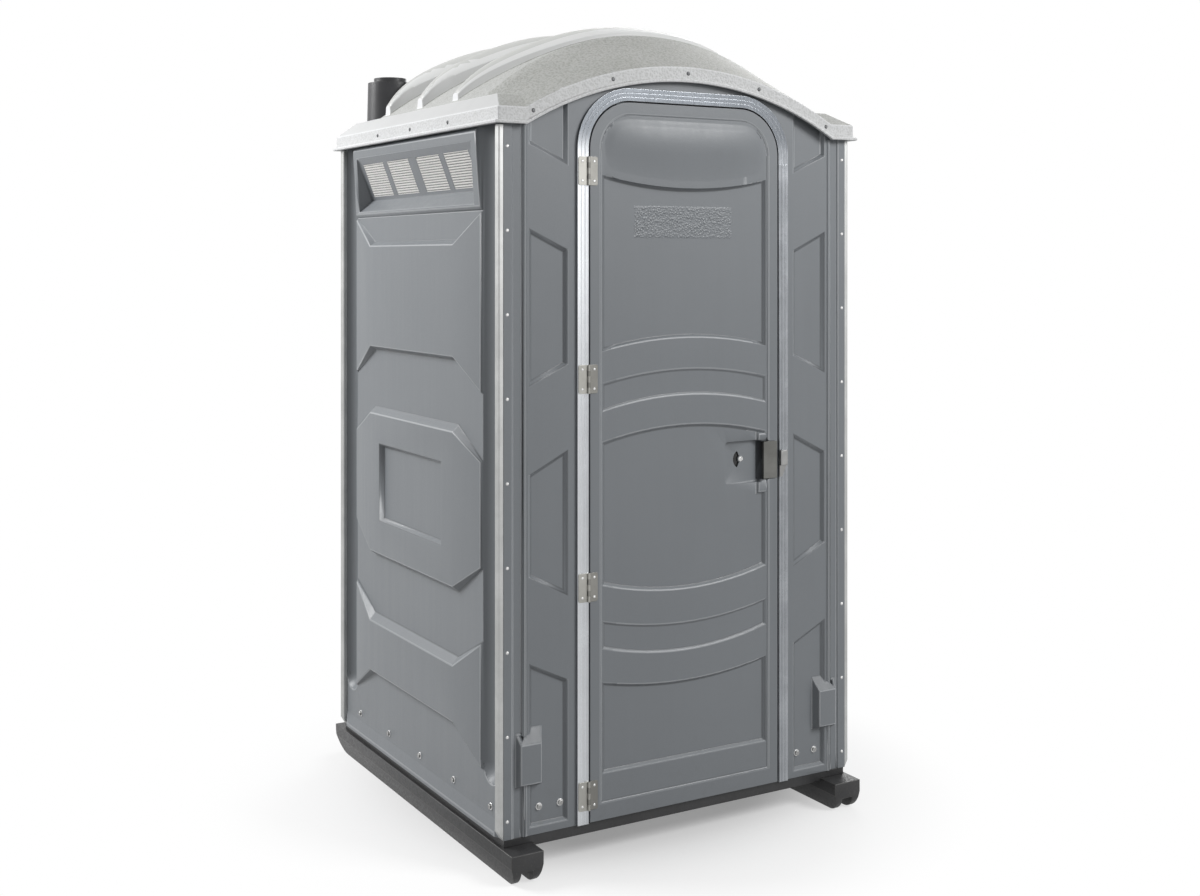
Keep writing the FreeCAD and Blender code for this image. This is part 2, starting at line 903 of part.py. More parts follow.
def make_floor_pan():
    skid_inner = half_width + skid_overhang - skid_width
    edge_x = half_width - pan_margin
    edge_y = half_depth - pan_margin
    pan = box((-edge_x, edge_x), (-edge_y, edge_y), (skid_height, wall_foot))
    belly = box((2 - skid_inner, skid_inner - 2), (-edge_y, edge_y), (skid_height - pan_sag, wall_foot))
    pan = pan.fuse(belly)
    out_x = side_inner - seat_gap
    front = sunk_depth + sheet + seat_gap - half_depth
    rear = end_inner - max(leg_thickness, channel_depth) - seat_gap
    rim = box((-out_x, out_x), (front, rear), (wall_foot, wall_foot + upstand_height))
    inside = box((upstand_wall - out_x, out_x - upstand_wall), (front + upstand_wall, rear - upstand_wall),
                 (wall_foot, wall_foot + upstand_height))
    doorway = frame_inner_half + wall_cut_gap
    gap = box((-doorway, doorway), (-half_depth, 0), (wall_foot, wall_foot + upstand_height))
    pan = pan.fuse(rim.cut(inside).cut(gap))
    across = [(-half_width, y, at_foot(bolt_z)) for y in side_bolts()]
    pan = fastener_holes(pan, across, wall_bolt_radius, (1, 0, 0), cabin_width)
    along = [(x, -half_depth, at_foot(z)) for x, z in end_bolt_places()]
    pan = fastener_holes(pan, along, wall_bolt_radius, (0, 1, 0), cabin_depth)
    upright = [(side * skid_middle(), y, 0) for side in (-1, 1) for y in skid_bolts()]
    return fastener_holes(pan, upright, wall_bolt_radius, (0, 0, 1), wall_foot - skid_bolt_cover + hole_play)


def skid_middle():
    return half_width + skid_overhang - skid_width / 2


def hex_bolt(head, grip, place, along):
    # A hexagon head outside and a plain shank that runs the other way
    corners = [(wall_bolt_head * math.cos(math.radians(60 * i)),
                wall_bolt_head * math.sin(math.radians(60 * i)), 0) for i in range(6)]
    bolt = prism(corners, (0, 0, head)).fuse(peg(wall_bolt_radius, grip, (0, 0, -grip), (0, 0, 1)))
    bolt.Placement = FreeCAD.Placement(V(*place), FreeCAD.Rotation(V(0, 0, 1), V(*along)))
    return bolt


def wall_bolt_seats():
    # Where each bolt's washer lies on a wall, and which way the bolt points out
    seats = []
    for side in (-1, 1):
        for y in side_bolts():
            seats.append(((side * half_width, y, at_foot(bolt_z)), (side, 0, 0)))
    for x, z in end_bolt_places():
        seats.append(((x, -half_depth + sunk_floor_at(x), at_foot(z)), (0, -1, 0)))
        seats.append(((x, half_depth, at_foot(z)), (0, 1, 0)))
    return seats


def sunk_floor_at(x):
    # The front wall's lowest sunk panel holds the bolts that lie within it
    return sunk_depth if sunk_in + sunk_draft < abs(x) < sunk_out - sunk_draft else 0.0


def make_wall_bolts():
    bolts = []
    for place, along in wall_bolt_seats():
        out = V(*along) * washer_thickness
        start = V(*place) + out
        grip = washer_thickness + sheet + leg_thickness + upstand_wall + wall_bolt_inside
        bolts.append(hex_bolt(wall_bolt_head_height, grip, tuple(start), along))
    return Part.makeCompound(bolts)


def make_wall_washers():
    washers = []
    for place, along in wall_bolt_seats():
        ring = peg(washer_radius, washer_thickness, place, along)
        washers.append(fastener_holes(ring, [place], wall_bolt_radius, along, washer_thickness))
    return Part.makeCompound(washers)


def make_skid_bolts():
    # The heads lie up inside the skids' channels
    bolts = []
    grip = wall_foot - skid_bolt_cover - channel_height
    for side in (-1, 1):
        for y in skid_bolts():
            place = (side * skid_middle(), y, channel_height)
            bolts.append(hex_bolt(wall_bolt_head_height, grip, place, (0, 0, -1)))
    return Part.makeCompound(bolts)


# Door frame

def frame_section():
    # The bent aluminium profile, in x outwards from the doorway and y back from its face
    face_back = frame_stand - frame_wall
    outer = frame_face
    g1 = frame_face * 0.31
    g2 = frame_face * 0.64
    w = frame_groove_width
    d = frame_groove
    depth = frame_front - stop_back
    return [
        (0, 0), (g1, 0), (g1, d), (g1 + w, d), (g1 + w, 0), (g2, 0), (g2, d), (g2 + w, d), (g2 + w, 0),
        (outer, 0), (outer, frame_stand), (outer - frame_wall, frame_stand),
        (outer - frame_wall, frame_wall), (frame_wall, frame_wall), (frame_wall, depth),
        (-stop_width, depth), (-stop_width, depth - frame_wall), (0, depth - frame_wall),
    ]


def make_jamb(side):
    points = [(side * (frame_inner_half + x), y - frame_front, wall_foot) for x, y in frame_section()]
    return prism(points, (0, 0, header_joint_z))


def make_header():
    low = at_foot(header_joint_z)
    bend_z = at_foot(frame_inner_top - frame_inner_radius)
    bend_x = frame_inner_half - frame_inner_radius
    header = None
    for side in (-1, 1):
        points = [(side * (frame_inner_half + x), y - frame_front, low) for x, y in frame_section()]
        leg = prism(points, (0, 0, bend_z - low))
        points = [(side * (frame_inner_half + x), y - frame_front, bend_z) for x, y in frame_section()]
        corner = face(points).revolve(V(side * bend_x, 0, bend_z), V(0, -side, 0), 90)
        header = leg.fuse(corner) if header is None else header.fuse(leg).fuse(corner)
    points = [(-bend_x, y - frame_front, at_foot(frame_inner_top) + x) for x, y in frame_section()]
    return header.fuse(prism(points, (2 * bend_x, 0, 0))).removeSplitter()


# Door, drawn flat: x across, y up from the wall foot, z outwards from the frame's face

def door_outline(drawn_in, plane):
    return arched(door_half - drawn_in, door_foot_z + drawn_in, door_top_z - drawn_in,
                  door_radius - drawn_in, plane)


def frustum(low_face, high_face):
    return Part.makeLoft([low_face.OuterWire, high_face.OuterWire], True, True)


def field_outline(drawn_in, plane):
    reach = rim_width + drawn_in
    return arched(door_half - reach, rim_foot_z + drawn_in, door_top_z - reach, door_radius - reach, plane)


def curved_panel(half, low, high, plane):
    # An outline with upright sides; low and high give the height at the side and in the middle
    return bent([
        [(-half, low[0], plane), (0, low[1], plane), (half, low[0], plane)],
        [(half, low[0], plane), (half, high[0], plane)],
        [(half, high[0], plane), (0, high[1], plane), (-half, high[0], plane)],
        [(-half, high[0], plane), (-half, low[0], plane)],
    ])


def sunk_panel(low, high, depth, run, o):
    half = door_half - rim_width - panel_margin
    share = o * draft_share
    mouth = 1.0
    floor = run - share
    spread = -run * mouth / depth - share
    return frustum(
        curved_panel(half - floor, (low[0] + floor, low[1] + floor), (high[0] - floor, high[1] - floor),
                     field_floor - depth),
        curved_panel(half - spread, (low[0] + spread, low[1] + spread),
                     (high[0] - spread, high[1] - spread), field_floor + mouth))


def dome(o):
    # The crowned field at the top of the door
    reach = rim_width + dome_margin + o
    half = door_half - reach
    top = door_top_z - reach
    radius = door_radius - reach
    turn = radius * (1 - math.sqrt(0.5))
    low = dome_low_side + o
    mid = dome_low_mid + o
    root = field_floor - 5.0
    outline = bent([
        [(-half, low, root), (0, mid, root), (half, low, root)],
        [(half, low, root), (half, top - radius, root)],
        [(half, top - radius, root), (half - turn, top - turn, root), (half - radius, top, root)],
        [(half - radius, top, root), (radius - half, top, root)],
        [(radius - half, top, root), (turn - half, top - turn, root), (-half, top - radius, root)],
        [(-half, top - radius, root), (-half, low, root)],
    ])
    wide = door_half - rim_width - dome_margin
    ball = (wide ** 2 + dome_rise ** 2) / (2 * dome_rise)
    crown = Part.makeSphere(ball, V(0, dome_peak_z, field_floor + dome_rise - ball))
    return outline.extrude(V(0, 0, dome_rise + 10)).common(crown)


def door_form(o):
    form = door_outline(o, -door_depth - o).extrude(V(0, 0, door_depth + o))
    share = o * draft_share
    field = frustum(field_outline(rim_draft - share, field_floor),
                    field_outline(-rim_draft / rim_step - share, 1.0))
    form = form.cut(field).fuse(dome(o))
    panels = (
        ((1248.0, 1278.0), (1716.0, 1686.0), door_panel_depth, door_panel_draft),
        ((1088.0, 1121.0), (1161.0, 1192.0), band_depth, band_draft),
        ((625.0, 588.0), (1005.0, 1039.0), door_panel_depth, door_panel_draft),
        ((457.0, 420.0), (528.0, 496.0), band_depth, band_draft),
        ((125.0, 125.01), (366.0, 337.0), door_panel_depth, door_panel_draft),
    )
    for low, high, depth, run in panels:
        form = form.cut(sunk_panel(low, high, depth, run, o))
    plateau = rectangle(plateau_left, door_half - rim_width + 6, plateau_low_z, plateau_high_z)
    rise = door_panel_depth
    form = form.fuse(raised(inset(plateau, share), rise, 5.0, root=4.0, base=panel_floor))
    pocket = rectangle(pocket_left - o, pocket_right + o, pocket_low_z - o, pocket_high_z + o)
    pocket = face(level(pocket, pocket_floor)).extrude(V(0, 0, 40))
    edges = [edge for edge in pocket.Edges
             if all(vertex.X < pocket_left + 1 for vertex in edge.Vertexes)
             and abs(edge.Vertexes[0].Z - edge.Vertexes[1].Z) > 1]
    pocket = pocket.makeFillet(pocket_corner, edges)
    well = box((well_left - o, well_right + o), (well_low_z - o, well_high_z + o), (well_floor, 40))
    return form.cut(pocket).cut(well)


def indicator_window():
    # A curved slot beside the spindle, where the dial shows
    turn = math.radians(window_half_angle)
    def on(radius, angle):
        return (latch_x - radius * math.cos(angle), latch_z + radius * math.sin(angle), -door_depth)
    return bent([
        [on(window_outer, turn), on(window_outer, 0), on(window_outer, -turn)],
        [on(window_outer, -turn), on(window_inner, -turn)],
        [on(window_inner, -turn), on(window_inner, 0), on(window_inner, turn)],
        [on(window_inner, turn), on(window_outer, turn)],
    ]).extrude(V(0, 0, door_depth))


def make_outer_skin():
    skin = moulded(door_form)
    skin = skin.cut(indicator_window())
    return drill(skin, [(latch_x, latch_z)], spindle_radius + spindle_play, -door_depth, 0)


def make_inner_skin():
    skin = door_outline(1.0, -door_depth - inner_skin).extrude(V(0, 0, inner_skin))
    half = door_half - 55
    for low, high in ((90.0, 470.0), (530.0, 800.0), (1060.0, 1330.0), (1390.0, 1740.0)):
        pad = raised(rectangle(-half, half, low, high), 7.0, 9.0, root=inner_skin)
        pad.rotate(V(0, 0, 0), V(0, 1, 0), 180)
        pad.translate(V(0, 0, -door_depth - inner_skin))
        skin = skin.fuse(pad)
    return drill(skin, [(latch_x, latch_z)], spindle_radius + spindle_play, -door_depth - 20, 0)


def stand_door(shape):
    shape.rotate(V(0, 0, 0), V(1, 0, 0), 90)
    shape.translate(V(0, -frame_front, wall_foot))
    return shape


# Latch, drawn in the same way as the door

def make_pull_plate():
    # A folded steel plate that bridges the finger well and is riveted to the door's edge
    back = 0.0
    plate = box((plate_left, plate_right), (plate_low_z, plate_high_z), (back, back + plate_thickness))
    fold = plate_fold
    left = box((plate_left, plate_left + plate_thickness), (plate_low_z, plate_high_z), (-fold, back))
    low = box((plate_left, well_right - 1), (plate_low_z, plate_low_z + plate_thickness), (-fold, back))
    high = box((plate_left, well_right - 1), (plate_high_z - plate_thickness, plate_high_z), (-fold, back))
    return plate.fuse(left).fuse(low).fuse(high)


def make_spindle():
    radius = spindle_radius
    front = pocket_floor + seat_gap
    tail = case_back() - lever_thickness - 2.0
    bar = Part.makeCylinder(radius, front - tail, V(latch_x, latch_z, tail))
    head = Part.makeCone(spindle_head_radius, spindle_head_radius * 0.7, spindle_head,
                         V(latch_x, latch_z, front))
    drive = box((latch_x - 1.2, latch_x + 1.2), (latch_z - far, latch_z + far),
                (front + spindle_head - 1.2, front + spindle_head + 1))
    return bar.fuse(head).cut(drive)


def case_front():
    return -door_depth - inner_skin


def bolt_front():
    return -(frame_front - stop_back) - seat_gap


def bolt_back():
    return bolt_front() - bolt_thickness


def case_back():
    return bolt_back() - bolt_play - case_wall


def make_dial():
    top = pocket_floor - sheet - seat_gap
    dial = Part.makeCylinder(dial_radius, dial_thickness, V(latch_x, latch_z, top - dial_thickness))
    return drill(dial, [(latch_x, latch_z)], spindle_radius, -far, far)


def make_case():
    low = latch_z - case_height / 2
    high = latch_z + case_height / 2
    case = box((case_left, case_right), (low, high), (case_back(), case_front()))
    edges = [edge for edge in case.Edges if abs(edge.Vertexes[0].Z - edge.Vertexes[1].Z) > 1]
    case = case.makeFillet(8.0, edges)
    half = bolt_height / 2 + bolt_play
    channel = box((bolt_tail - 3, far), (latch_z - half, latch_z + half),
                  (bolt_back() - bolt_play, bolt_front() + bolt_play))
    case = case.cut(channel)
    return drill(case, [(latch_x, latch_z)], spindle_radius + spindle_play, -far, 0)


def make_bolt():
    half = bolt_height / 2
    bolt = box((bolt_tail, bolt_tip), (latch_z - half, latch_z + half), (bolt_back(), bolt_front()))
    slot = spindle_radius + 1.0
    way = box((latch_x - slot - bolt_travel, latch_x + slot), (latch_z - slot, latch_z + slot),
              (bolt_back() - 1, bolt_front() + 1))
    return bolt.cut(way)


def make_lever():
    top = case_back() - seat_gap
    low = top - lever_thickness
    hub = Part.makeCylinder(lever_width * 0.75, lever_thickness, V(latch_x, latch_z, low))
    arm = box((latch_x - lever_length, latch_x), (latch_z - lever_width / 2, latch_z + lever_width / 2),
              (low, low + lever_thickness))
    tip = Part.makeCylinder(lever_width / 2, lever_thickness, V(latch_x - lever_length, latch_z, low))
    lever = hub.fuse(arm).fuse(tip).removeSplitter()
    return drill(lever, [(latch_x, latch_z)], spindle_radius, -far, 0)


def make_keeper():
    # The catch on the jamb: a rounded lug over a tapering plate
    left = frame_inner_half + 2.0
    right = left + keeper_width
    plate = [(left, keeper_low_z), (left + keeper_width * 0.4, keeper_low_z),
             (right, keeper_high_z - keeper_lug_height), (right, keeper_high_z), (left, keeper_high_z)]
    plate = prism(level(plate, 0.0), (0, 0, keeper_plate))
    lug = box((left, right), (keeper_high_z - keeper_lug_height, keeper_high_z), (0, keeper_lug_out))
    edges = [edge for edge in lug.Edges if all(vertex.Z > keeper_lug_out - 1 for vertex in edge.Vertexes)]
    return plate.fuse(lug.makeFillet(keeper_round, edges))


# Hinges

def knuckles(z, first):
    # Every second knuckle of the barrel, as a list of low and high ends
    low = z - hinge_height / 2
    pitch = hinge_height / knuckle_count
    return [(low + pitch * i + (knuckle_gap / 2 if i else 0),
             low + pitch * (i + 1) - (knuckle_gap / 2 if i < knuckle_count - 1 else 0))
            for i in range(first, knuckle_count, 2)]


def make_hinge_leaf(z, side, first, bore):
    # One plate with its knuckles; the frame's leaf is on side -1, the door's on side 1
    z = at_foot(z)
    reach = hinge_frame_reach if side < 0 else hinge_door_reach
    near = hinge_x + side * (knuckle_radius + seat_gap)
    ends = sorted((near, hinge_x + side * reach))
    low = z - hinge_height / 2
    back = -frame_front
    leaf = box(ends, (back - hinge_leaf, back), (low, low + hinge_height))
    edges = [edge for edge in leaf.Edges
             if all(abs(vertex.X - (hinge_x + side * reach)) < 0.01 for vertex in edge.Vertexes)
             and abs(edge.Vertexes[0].Y - edge.Vertexes[1].Y) > 0.1]
    leaf = leaf.makeFillet(5.0, edges)
    for bottom, top in knuckles(z, first):
        barrel = Part.makeCylinder(knuckle_radius, top - bottom, V(hinge_x, hinge_y, bottom))
        web_ends = sorted((hinge_x, near + side))
        web = box(web_ends, (back - hinge_leaf, back), (bottom, top))
        leaf = leaf.fuse(barrel).fuse(web)
    hole = Part.makeCylinder(bore, hinge_height + 2, V(hinge_x, hinge_y, low - 1))
    return leaf.cut(hole).removeSplitter()


def make_hinge_pin(z):
    low = at_foot(z) - hinge_height / 2
    return Part.makeCylinder(hinge_pin_radius, hinge_height, V(hinge_x, hinge_y, low))


def make_hinge_rivets(side):
    reach = hinge_frame_reach if side < 0 else hinge_door_reach
    x = hinge_x + side * (knuckle_radius + reach) * 0.55
    rivets = []
    for z in hinge_heights:
        for end in (-1, 1):
            height = at_foot(z) + end * (hinge_height / 2 - hinge_rivet_end)
            place = (x, -frame_front - hinge_leaf, height)
            rivets.append(button(hinge_rivet_radius, hinge_rivet_height, place, (0, -1, 0)))
    return Part.makeCompound(rivets)


# Roof

def arch_face(y, half, edge, crown, floor):
    return bent([
        [(-half, y, floor), (half, y, floor)],
        [(half, y, floor), (half, y, edge)],
        [(half, y, edge), (0, y, crown), (-half, y, edge)],
        [(-half, y, edge), (-half, y, floor)],
    ])


def rib_section(x, y, width, crest, base):
    # Cross-section of one rib: a crest of short chords on slanting flanks
    narrow = 1 - (width - rib_end_width) / (rib_half_width - rib_end_width)
    shoulder = width * (0.86 - 0.22 * narrow)
    rise = (crest - base) * (0.36 + 0.42 * narrow)
    foot = base - 25.0
    height = crest - base - rise
    radius = (shoulder ** 2 + height ** 2) / (2 * height)
    turn = math.asin(shoulder / radius)
    points = [(x, y - width, foot)]
    for i in range(rib_chords + 1):
        angle = turn * (2 * i / rib_chords - 1)
        points.append((x, y + radius * math.sin(angle), crest - radius + radius * math.cos(angle)))
    points.append((x, y + width, foot))
    corners = [V(*point) for point in points]
    return Part.makePolygon(corners + corners[:1])


def rib(number, o):
    # Ribs are widest at the crown, lean towards the front and run out as fins above the side bands
    stations = []
    reach = rib_end_half - (o + rib_end_wall if o else 0.0)
    for share in (-1.0, -0.86, -0.66, -0.4, 0.0, 0.4, 0.66, 0.86, 1.0):
        x = share * reach
        widen = math.sin(min(1.0, (1 - abs(share)) / rib_spread) * math.pi / 2)
        width = rib_end_width + (rib_half_width - rib_end_width) * widen - o
        base = arch_z(x, vault_half, skirt_top_z + band_rise, vault_crown_z) - o
        crest = base + rib_rise[number] * (rib_end_rise if abs(share) == 1 else 1.0)
        y = rib_places[number] - half_depth + rib_lean[number] * widen
        stations.append(rib_section(x, y, width, crest, base))
    return Part.makeLoft(stations, True, False)


def roof_form(o):
    floor = skirt_low_z - 40.0
    half = roof_half - o
    end = roof_skirt_y - o
    arch = skirt_arch_half - o
    edge = skirt_top_z - o
    skirt_crown_z = skirt_top_z + skirt_crown - o
    skirt = bent([
        [(-half, -end, floor), (half, -end, floor)],
        [(half, -end, floor), (half, -end, edge)],
        [(half, -end, edge), (arch, -end, edge)],
        [(arch, -end, edge), (0, -end, skirt_crown_z - 2), (-arch, -end, edge)],
        [(-arch, -end, edge), (-half, -end, edge)],
        [(-half, -end, edge), (-half, -end, floor)],
    ])
    form = skirt.extrude(V(0, 2 * end, 0))
    low = rectangle(-half, half, -end, end)
    high = rectangle(band_inset - half, half - band_inset, band_end_run - end, end - band_end_run)
    form = form.fuse(through([level(low, edge), level(high, edge + band_rise)]))
    vault = (vault_half - o, edge + band_rise, vault_crown_z - o, floor)
    form = form.fuse(arch_face(vault_front_y, *vault).extrude(V(0, vault_rear_y - vault_front_y, 0)))
    for y, y_end in ((vault_front_y, -end), (vault_rear_y, end)):
        slope = Part.makeLoft([arch_face(y_end, arch, edge, skirt_crown_z - 2, floor).OuterWire,
                               arch_face(y, *vault).OuterWire], True, True)
        form = form.fuse(slope)
    for number in range(len(rib_places)):
        form = form.fuse(rib(number, o))
    return form


def roof_lip():
    # A small bead turned out along the lower edge of the skirt
    half = roof_half + lip_side
    end = roof_skirt_y + lip_end
    low = skirt_low_z
    high = low + lip_height
    arch = skirt_arch_half
    bead = bent([
        [(-half, -end, low), (-arch, -end, low)],
        [(-arch, -end, low), (0, -end, low + skirt_crown), (arch, -end, low)],
        [(arch, -end, low), (half, -end, low)],
        [(half, -end, low), (half, -end, high)],
        [(half, -end, high), (arch, -end, high)],
        [(arch, -end, high), (0, -end, high + skirt_crown), (-arch, -end, high)],
        [(-arch, -end, high), (-half, -end, high)],
        [(-half, -end, high), (-half, -end, low)],
    ])
    return bead.extrude(V(0, 2 * end, 0))


def below_skirt():
    low = skirt_low_z
    arch = skirt_arch_half
    return bent([
        [(-far, -far, 0), (far, -far, 0)],
        [(far, -far, 0), (far, -far, low)],
        [(far, -far, low), (arch, -far, low)],
        [(arch, -far, low), (0, -far, low + skirt_crown), (-arch, -far, low)],
        [(-arch, -far, low), (-far, -far, low)],
        [(-far, -far, low), (-far, -far, 0)],
    ]).extrude(V(0, 2 * far, 0))


def make_roof():
    roof = roof_form(0.0).fuse(roof_lip()).cut(roof_form(roof_sheet)).cut(below_skirt())
    hole = Part.makeCylinder(stack_radius + 2 * stack_play, far, V(stack_x, stack_y, skirt_low_z))
    roof = roof.cut(hole)
    across = [(-far, y, skirt_low_z + roof_screw_lift) for y in roof_screws_side]
    roof = fastener_holes(roof, across, roof_screw_radius, (1, 0, 0), 2 * far)
    along = [(x, -far, z) for x, z in end_screw_places()]
    roof = fastener_holes(roof, along, roof_screw_radius, (0, 1, 0), 2 * far)
    return raised_to_walls(roof)


def raised_to_walls(shape):
    shape.translate(V(0, 0, wall_foot))
    return shape


def roof_screw(place, along, grip):
    head = button(roof_screw_head, roof_screw_head_height, place, along)
    back = V(*place) + V(*along) * -grip
    return head.fuse(peg(roof_screw_radius, grip, tuple(back), along))


def make_roof_screws():
    screws = []
    side_grip = roof_half - side_inner
    end_grip = roof_skirt_y - end_inner
    for side in (-1, 1):
        for y in roof_screws_side:
            place = (side * roof_half, y, skirt_low_z + roof_screw_lift)
            screws.append(roof_screw(place, (side, 0, 0), side_grip))
    for end in (-1, 1):
        for x, z in end_screw_places():
            screws.append(roof_screw((x, end * roof_skirt_y, z), (0, end, 0), end_grip))
    return raised_to_walls(Part.makeCompound(screws))


# Vent stack

def make_stack():
    low = tank_top - stack_dip
    high = at_foot(stack_top_z)
    pipe = Part.makeCylinder(stack_radius, high - low, V(stack_x, stack_y, low))
    return pipe.cut(Part.makeCylinder(stack_radius - stack_wall, high - low, V(stack_x, stack_y, low)))


def make_boot():
    height = boot_top_z - boot_foot_z
    boot = Part.makeCone(boot_radius_foot, boot_radius_top, height, V(stack_x, stack_y, boot_foot_z))
    boot = boot.cut(Part.makeCylinder(stack_radius + stack_play, height, V(stack_x, stack_y, boot_foot_z)))
    boot = boot.cut(roof_form(0.0))
    return raised_to_walls(max(boot.Solids, key=lambda solid: solid.Volume))


# Waste tank and seat

def tank_outline(drawn_in):
    low = wall_foot + drawn_in
    high = tank_top - drawn_in
    front = tank_front_y + drawn_in
    back = tank_back_y - drawn_in
    return [(front + tank_toe, low), (back, low), (back, high), (front, high), (front, high - tank_toe)]


def oval(x, y, low, height):
    curve = Part.Ellipse(V(0, 0, 0), max(x, y), min(x, y)).toShape()
    solid = Part.Face(Part.Wire([curve])).extrude(V(0, 0, height))
    if y > x:
        solid.rotate(V(0, 0, 0), V(0, 0, 1), 90)
    solid.translate(V(0, seat_y, low))
    return solid


def make_tank():
    tank = prism([(-tank_half, y, z) for y, z in tank_outline(0)], (2 * tank_half, 0, 0))
    inner_half = tank_half - tank_wall
    tank = tank.cut(prism([(-inner_half, y, z) for y, z in tank_outline(tank_wall)], (2 * inner_half, 0, 0)))
    tank = tank.cut(oval(seat_hole_x, seat_hole_y, tank_top - 2 * tank_wall, 4 * tank_wall))
    tank = tank.cut(Part.makeCylinder(stack_radius + stack_play, 4 * tank_wall,
                                      V(stack_x, stack_y, tank_top - 2 * tank_wall)))
    tank = tank.cut(Part.makeCylinder(drain_radius, 6 * tank_wall,
                                      V(drain_x(), tank_front_y - 1, at_foot(drain_z)), V(0, 1, 0)))
    for side in (-1, 1):
        xs = sorted((side * ear[0], side * ear[1]))
        post = box(xs, (seat_pin_y - seat_lug_radius, seat_pin_y + seat_lug_radius),
                   (tank_top, seat_pin_z))
        round_top = Part.makeCylinder(seat_lug_radius, ear[1] - ear[0], V(xs[0], seat_pin_y, seat_pin_z),
                                      V(1, 0, 0))
        tank = tank.fuse(post.fuse(round_top))
    return tank.cut(seat_bore(seat_pin_radius))


def seat_bore(radius):
    return Part.makeCylinder(radius, 2 * ear[1], V(-ear[1], seat_pin_y, seat_pin_z), V(1, 0, 0))


def seat_lug(ends, side, low, high):
    # A knuckle round the pin and the arm that joins it to the seat
    xs = sorted((side * ends[0], side * ends[1]))
    barrel = Part.makeCylinder(seat_lug_radius, xs[1] - xs[0], V(xs[0], seat_pin_y, seat_pin_z), V(1, 0, 0))
    root = seat_y + ring_y - 30.0
    edge = seat_y + ring_y + lid_gap
    arm = prism([(xs[0], root, low), (xs[0], seat_pin_y, max(low, seat_pin_z - seat_lug_radius)),
                 (xs[0], seat_pin_y, seat_pin_z + seat_lug_radius * 0.8), (xs[0], edge, high),
                 (xs[0], root, high)], (xs[1] - xs[0], 0, 0))
    return barrel.fuse(arm)


def make_ring():
    ring = oval(ring_x, ring_y, ring_low, ring_thickness)
    ring = ring.cut(oval(ring_bore_x, ring_bore_y, ring_low - 1, ring_thickness + 2))
    for side in (-1, 1):
        ring = ring.fuse(seat_lug(ring_lug, side, ring_low, ring_low + ring_thickness))
    return ring.cut(seat_bore(seat_pin_radius + seat_pin_play))


def make_lid():
    # Drawn closed on the ring, then swung up against the rear wall
    lid = oval(ring_x, ring_y, lid_low, lid_thickness)
    for side in (-1, 1):
        lid = lid.fuse(seat_lug(lid_lug, side, lid_low, lid_low + lid_thickness))
    lid = lid.cut(seat_bore(seat_pin_radius + seat_pin_play))
    lid.rotate(V(0, seat_pin_y, seat_pin_z), V(1, 0, 0), -lid_open_angle)
    return lid


# Urinal on the right wall, with its drain into the tank

def urinal_bowl(o):
    wall_x = side_inner
    rim = at_foot(urinal_rim_z)
    low = at_foot(urinal_plate_low_z) + o
    half = urinal_half - o
    foot = urinal_foot_half - o
    top = [(wall_x - urinal_wall * (o > 0), urinal_y - half, rim + o),
           (wall_x - urinal_wall * (o > 0), urinal_y + half, rim + o),
           (wall_x - urinal_reach + o, urinal_y + half * 0.6, rim + o),
           (wall_x - urinal_reach + o, urinal_y - half * 0.6, rim + o)]
    bottom = [(wall_x - urinal_wall * (o > 0), urinal_y - foot, low),
              (wall_x - urinal_wall * (o > 0), urinal_y + foot, low),
              (wall_x - urinal_foot_reach + o, urinal_y + foot * 0.6, low),
              (wall_x - urinal_foot_reach + o, urinal_y - foot * 0.6, low)]
    wires = [Part.makePolygon([V(*p) for p in ring + ring[:1]]) for ring in (bottom, top)]
    return Part.makeLoft(wires, True, True)


def drain_x():
    return side_inner - drain_out


def make_urinal():
    plate = box((side_inner - urinal_wall, side_inner), (urinal_y - urinal_half, urinal_y + urinal_half),
                (at_foot(urinal_plate_low_z), at_foot(urinal_plate_high_z)))
    bowl = urinal_bowl(0.0).cut(urinal_bowl(urinal_wall))
    urinal = plate.fuse(bowl)
    hole = Part.makeCylinder(drain_radius - drain_wall, 4 * urinal_wall,
                             V(drain_x(), urinal_y, at_foot(urinal_plate_low_z) - urinal_wall))
    return urinal.cut(hole)


def drain_path(radius):
    top = at_foot(urinal_plate_low_z)
    low = at_foot(drain_z)
    x = drain_x()
    end = tank_front_y + tank_wall + 12.0
    bend_z = low + drain_bend
    turns = [math.tau * i / drain_sides for i in range(drain_sides)]
    ring = [(x + radius * math.cos(turn), urinal_y + radius * math.sin(turn), bend_z) for turn in turns]
    upright = prism(ring, (0, 0, top - bend_z))
    elbow = face(ring).revolve(V(x, urinal_y + drain_bend, bend_z), V(1, 0, 0), 90)
    mouth = [(x0, urinal_y + drain_bend, bend_z - (drain_bend - (y0 - urinal_y))) for x0, y0, _ in ring]
    along = prism(mouth, (0, end - urinal_y - drain_bend, 0))
    return upright.fuse(elbow).fuse(along)


def make_drain():
    return drain_path(drain_radius).cut(drain_path(drain_radius - drain_wall))


# Paper holder on the left wall

def holder_axis():
    return -(side_inner - holder_axis_reach)


def make_holder():
    half = roll_length + roll_gap
    low = at_foot(paper_z) - holder_height / 2
    x = -side_inner
    z = (low, low + holder_height)
    holder = box((x, x + holder_plate), (paper_y - half - holder_plate, paper_y + half + holder_plate), z)
    for side in (-1, 1):
        ys = sorted((paper_y + side * half, paper_y + side * (half + holder_plate)))
        holder = holder.fuse(box((x, x + holder_reach), ys, z))
    length = 2 * (half + holder_plate) + 2
    hole = Part.makeCylinder(holder_stub, length, V(holder_axis(), paper_y - length / 2, at_foot(paper_z)),
                             V(0, 1, 0))
    return holder.cut(hole)


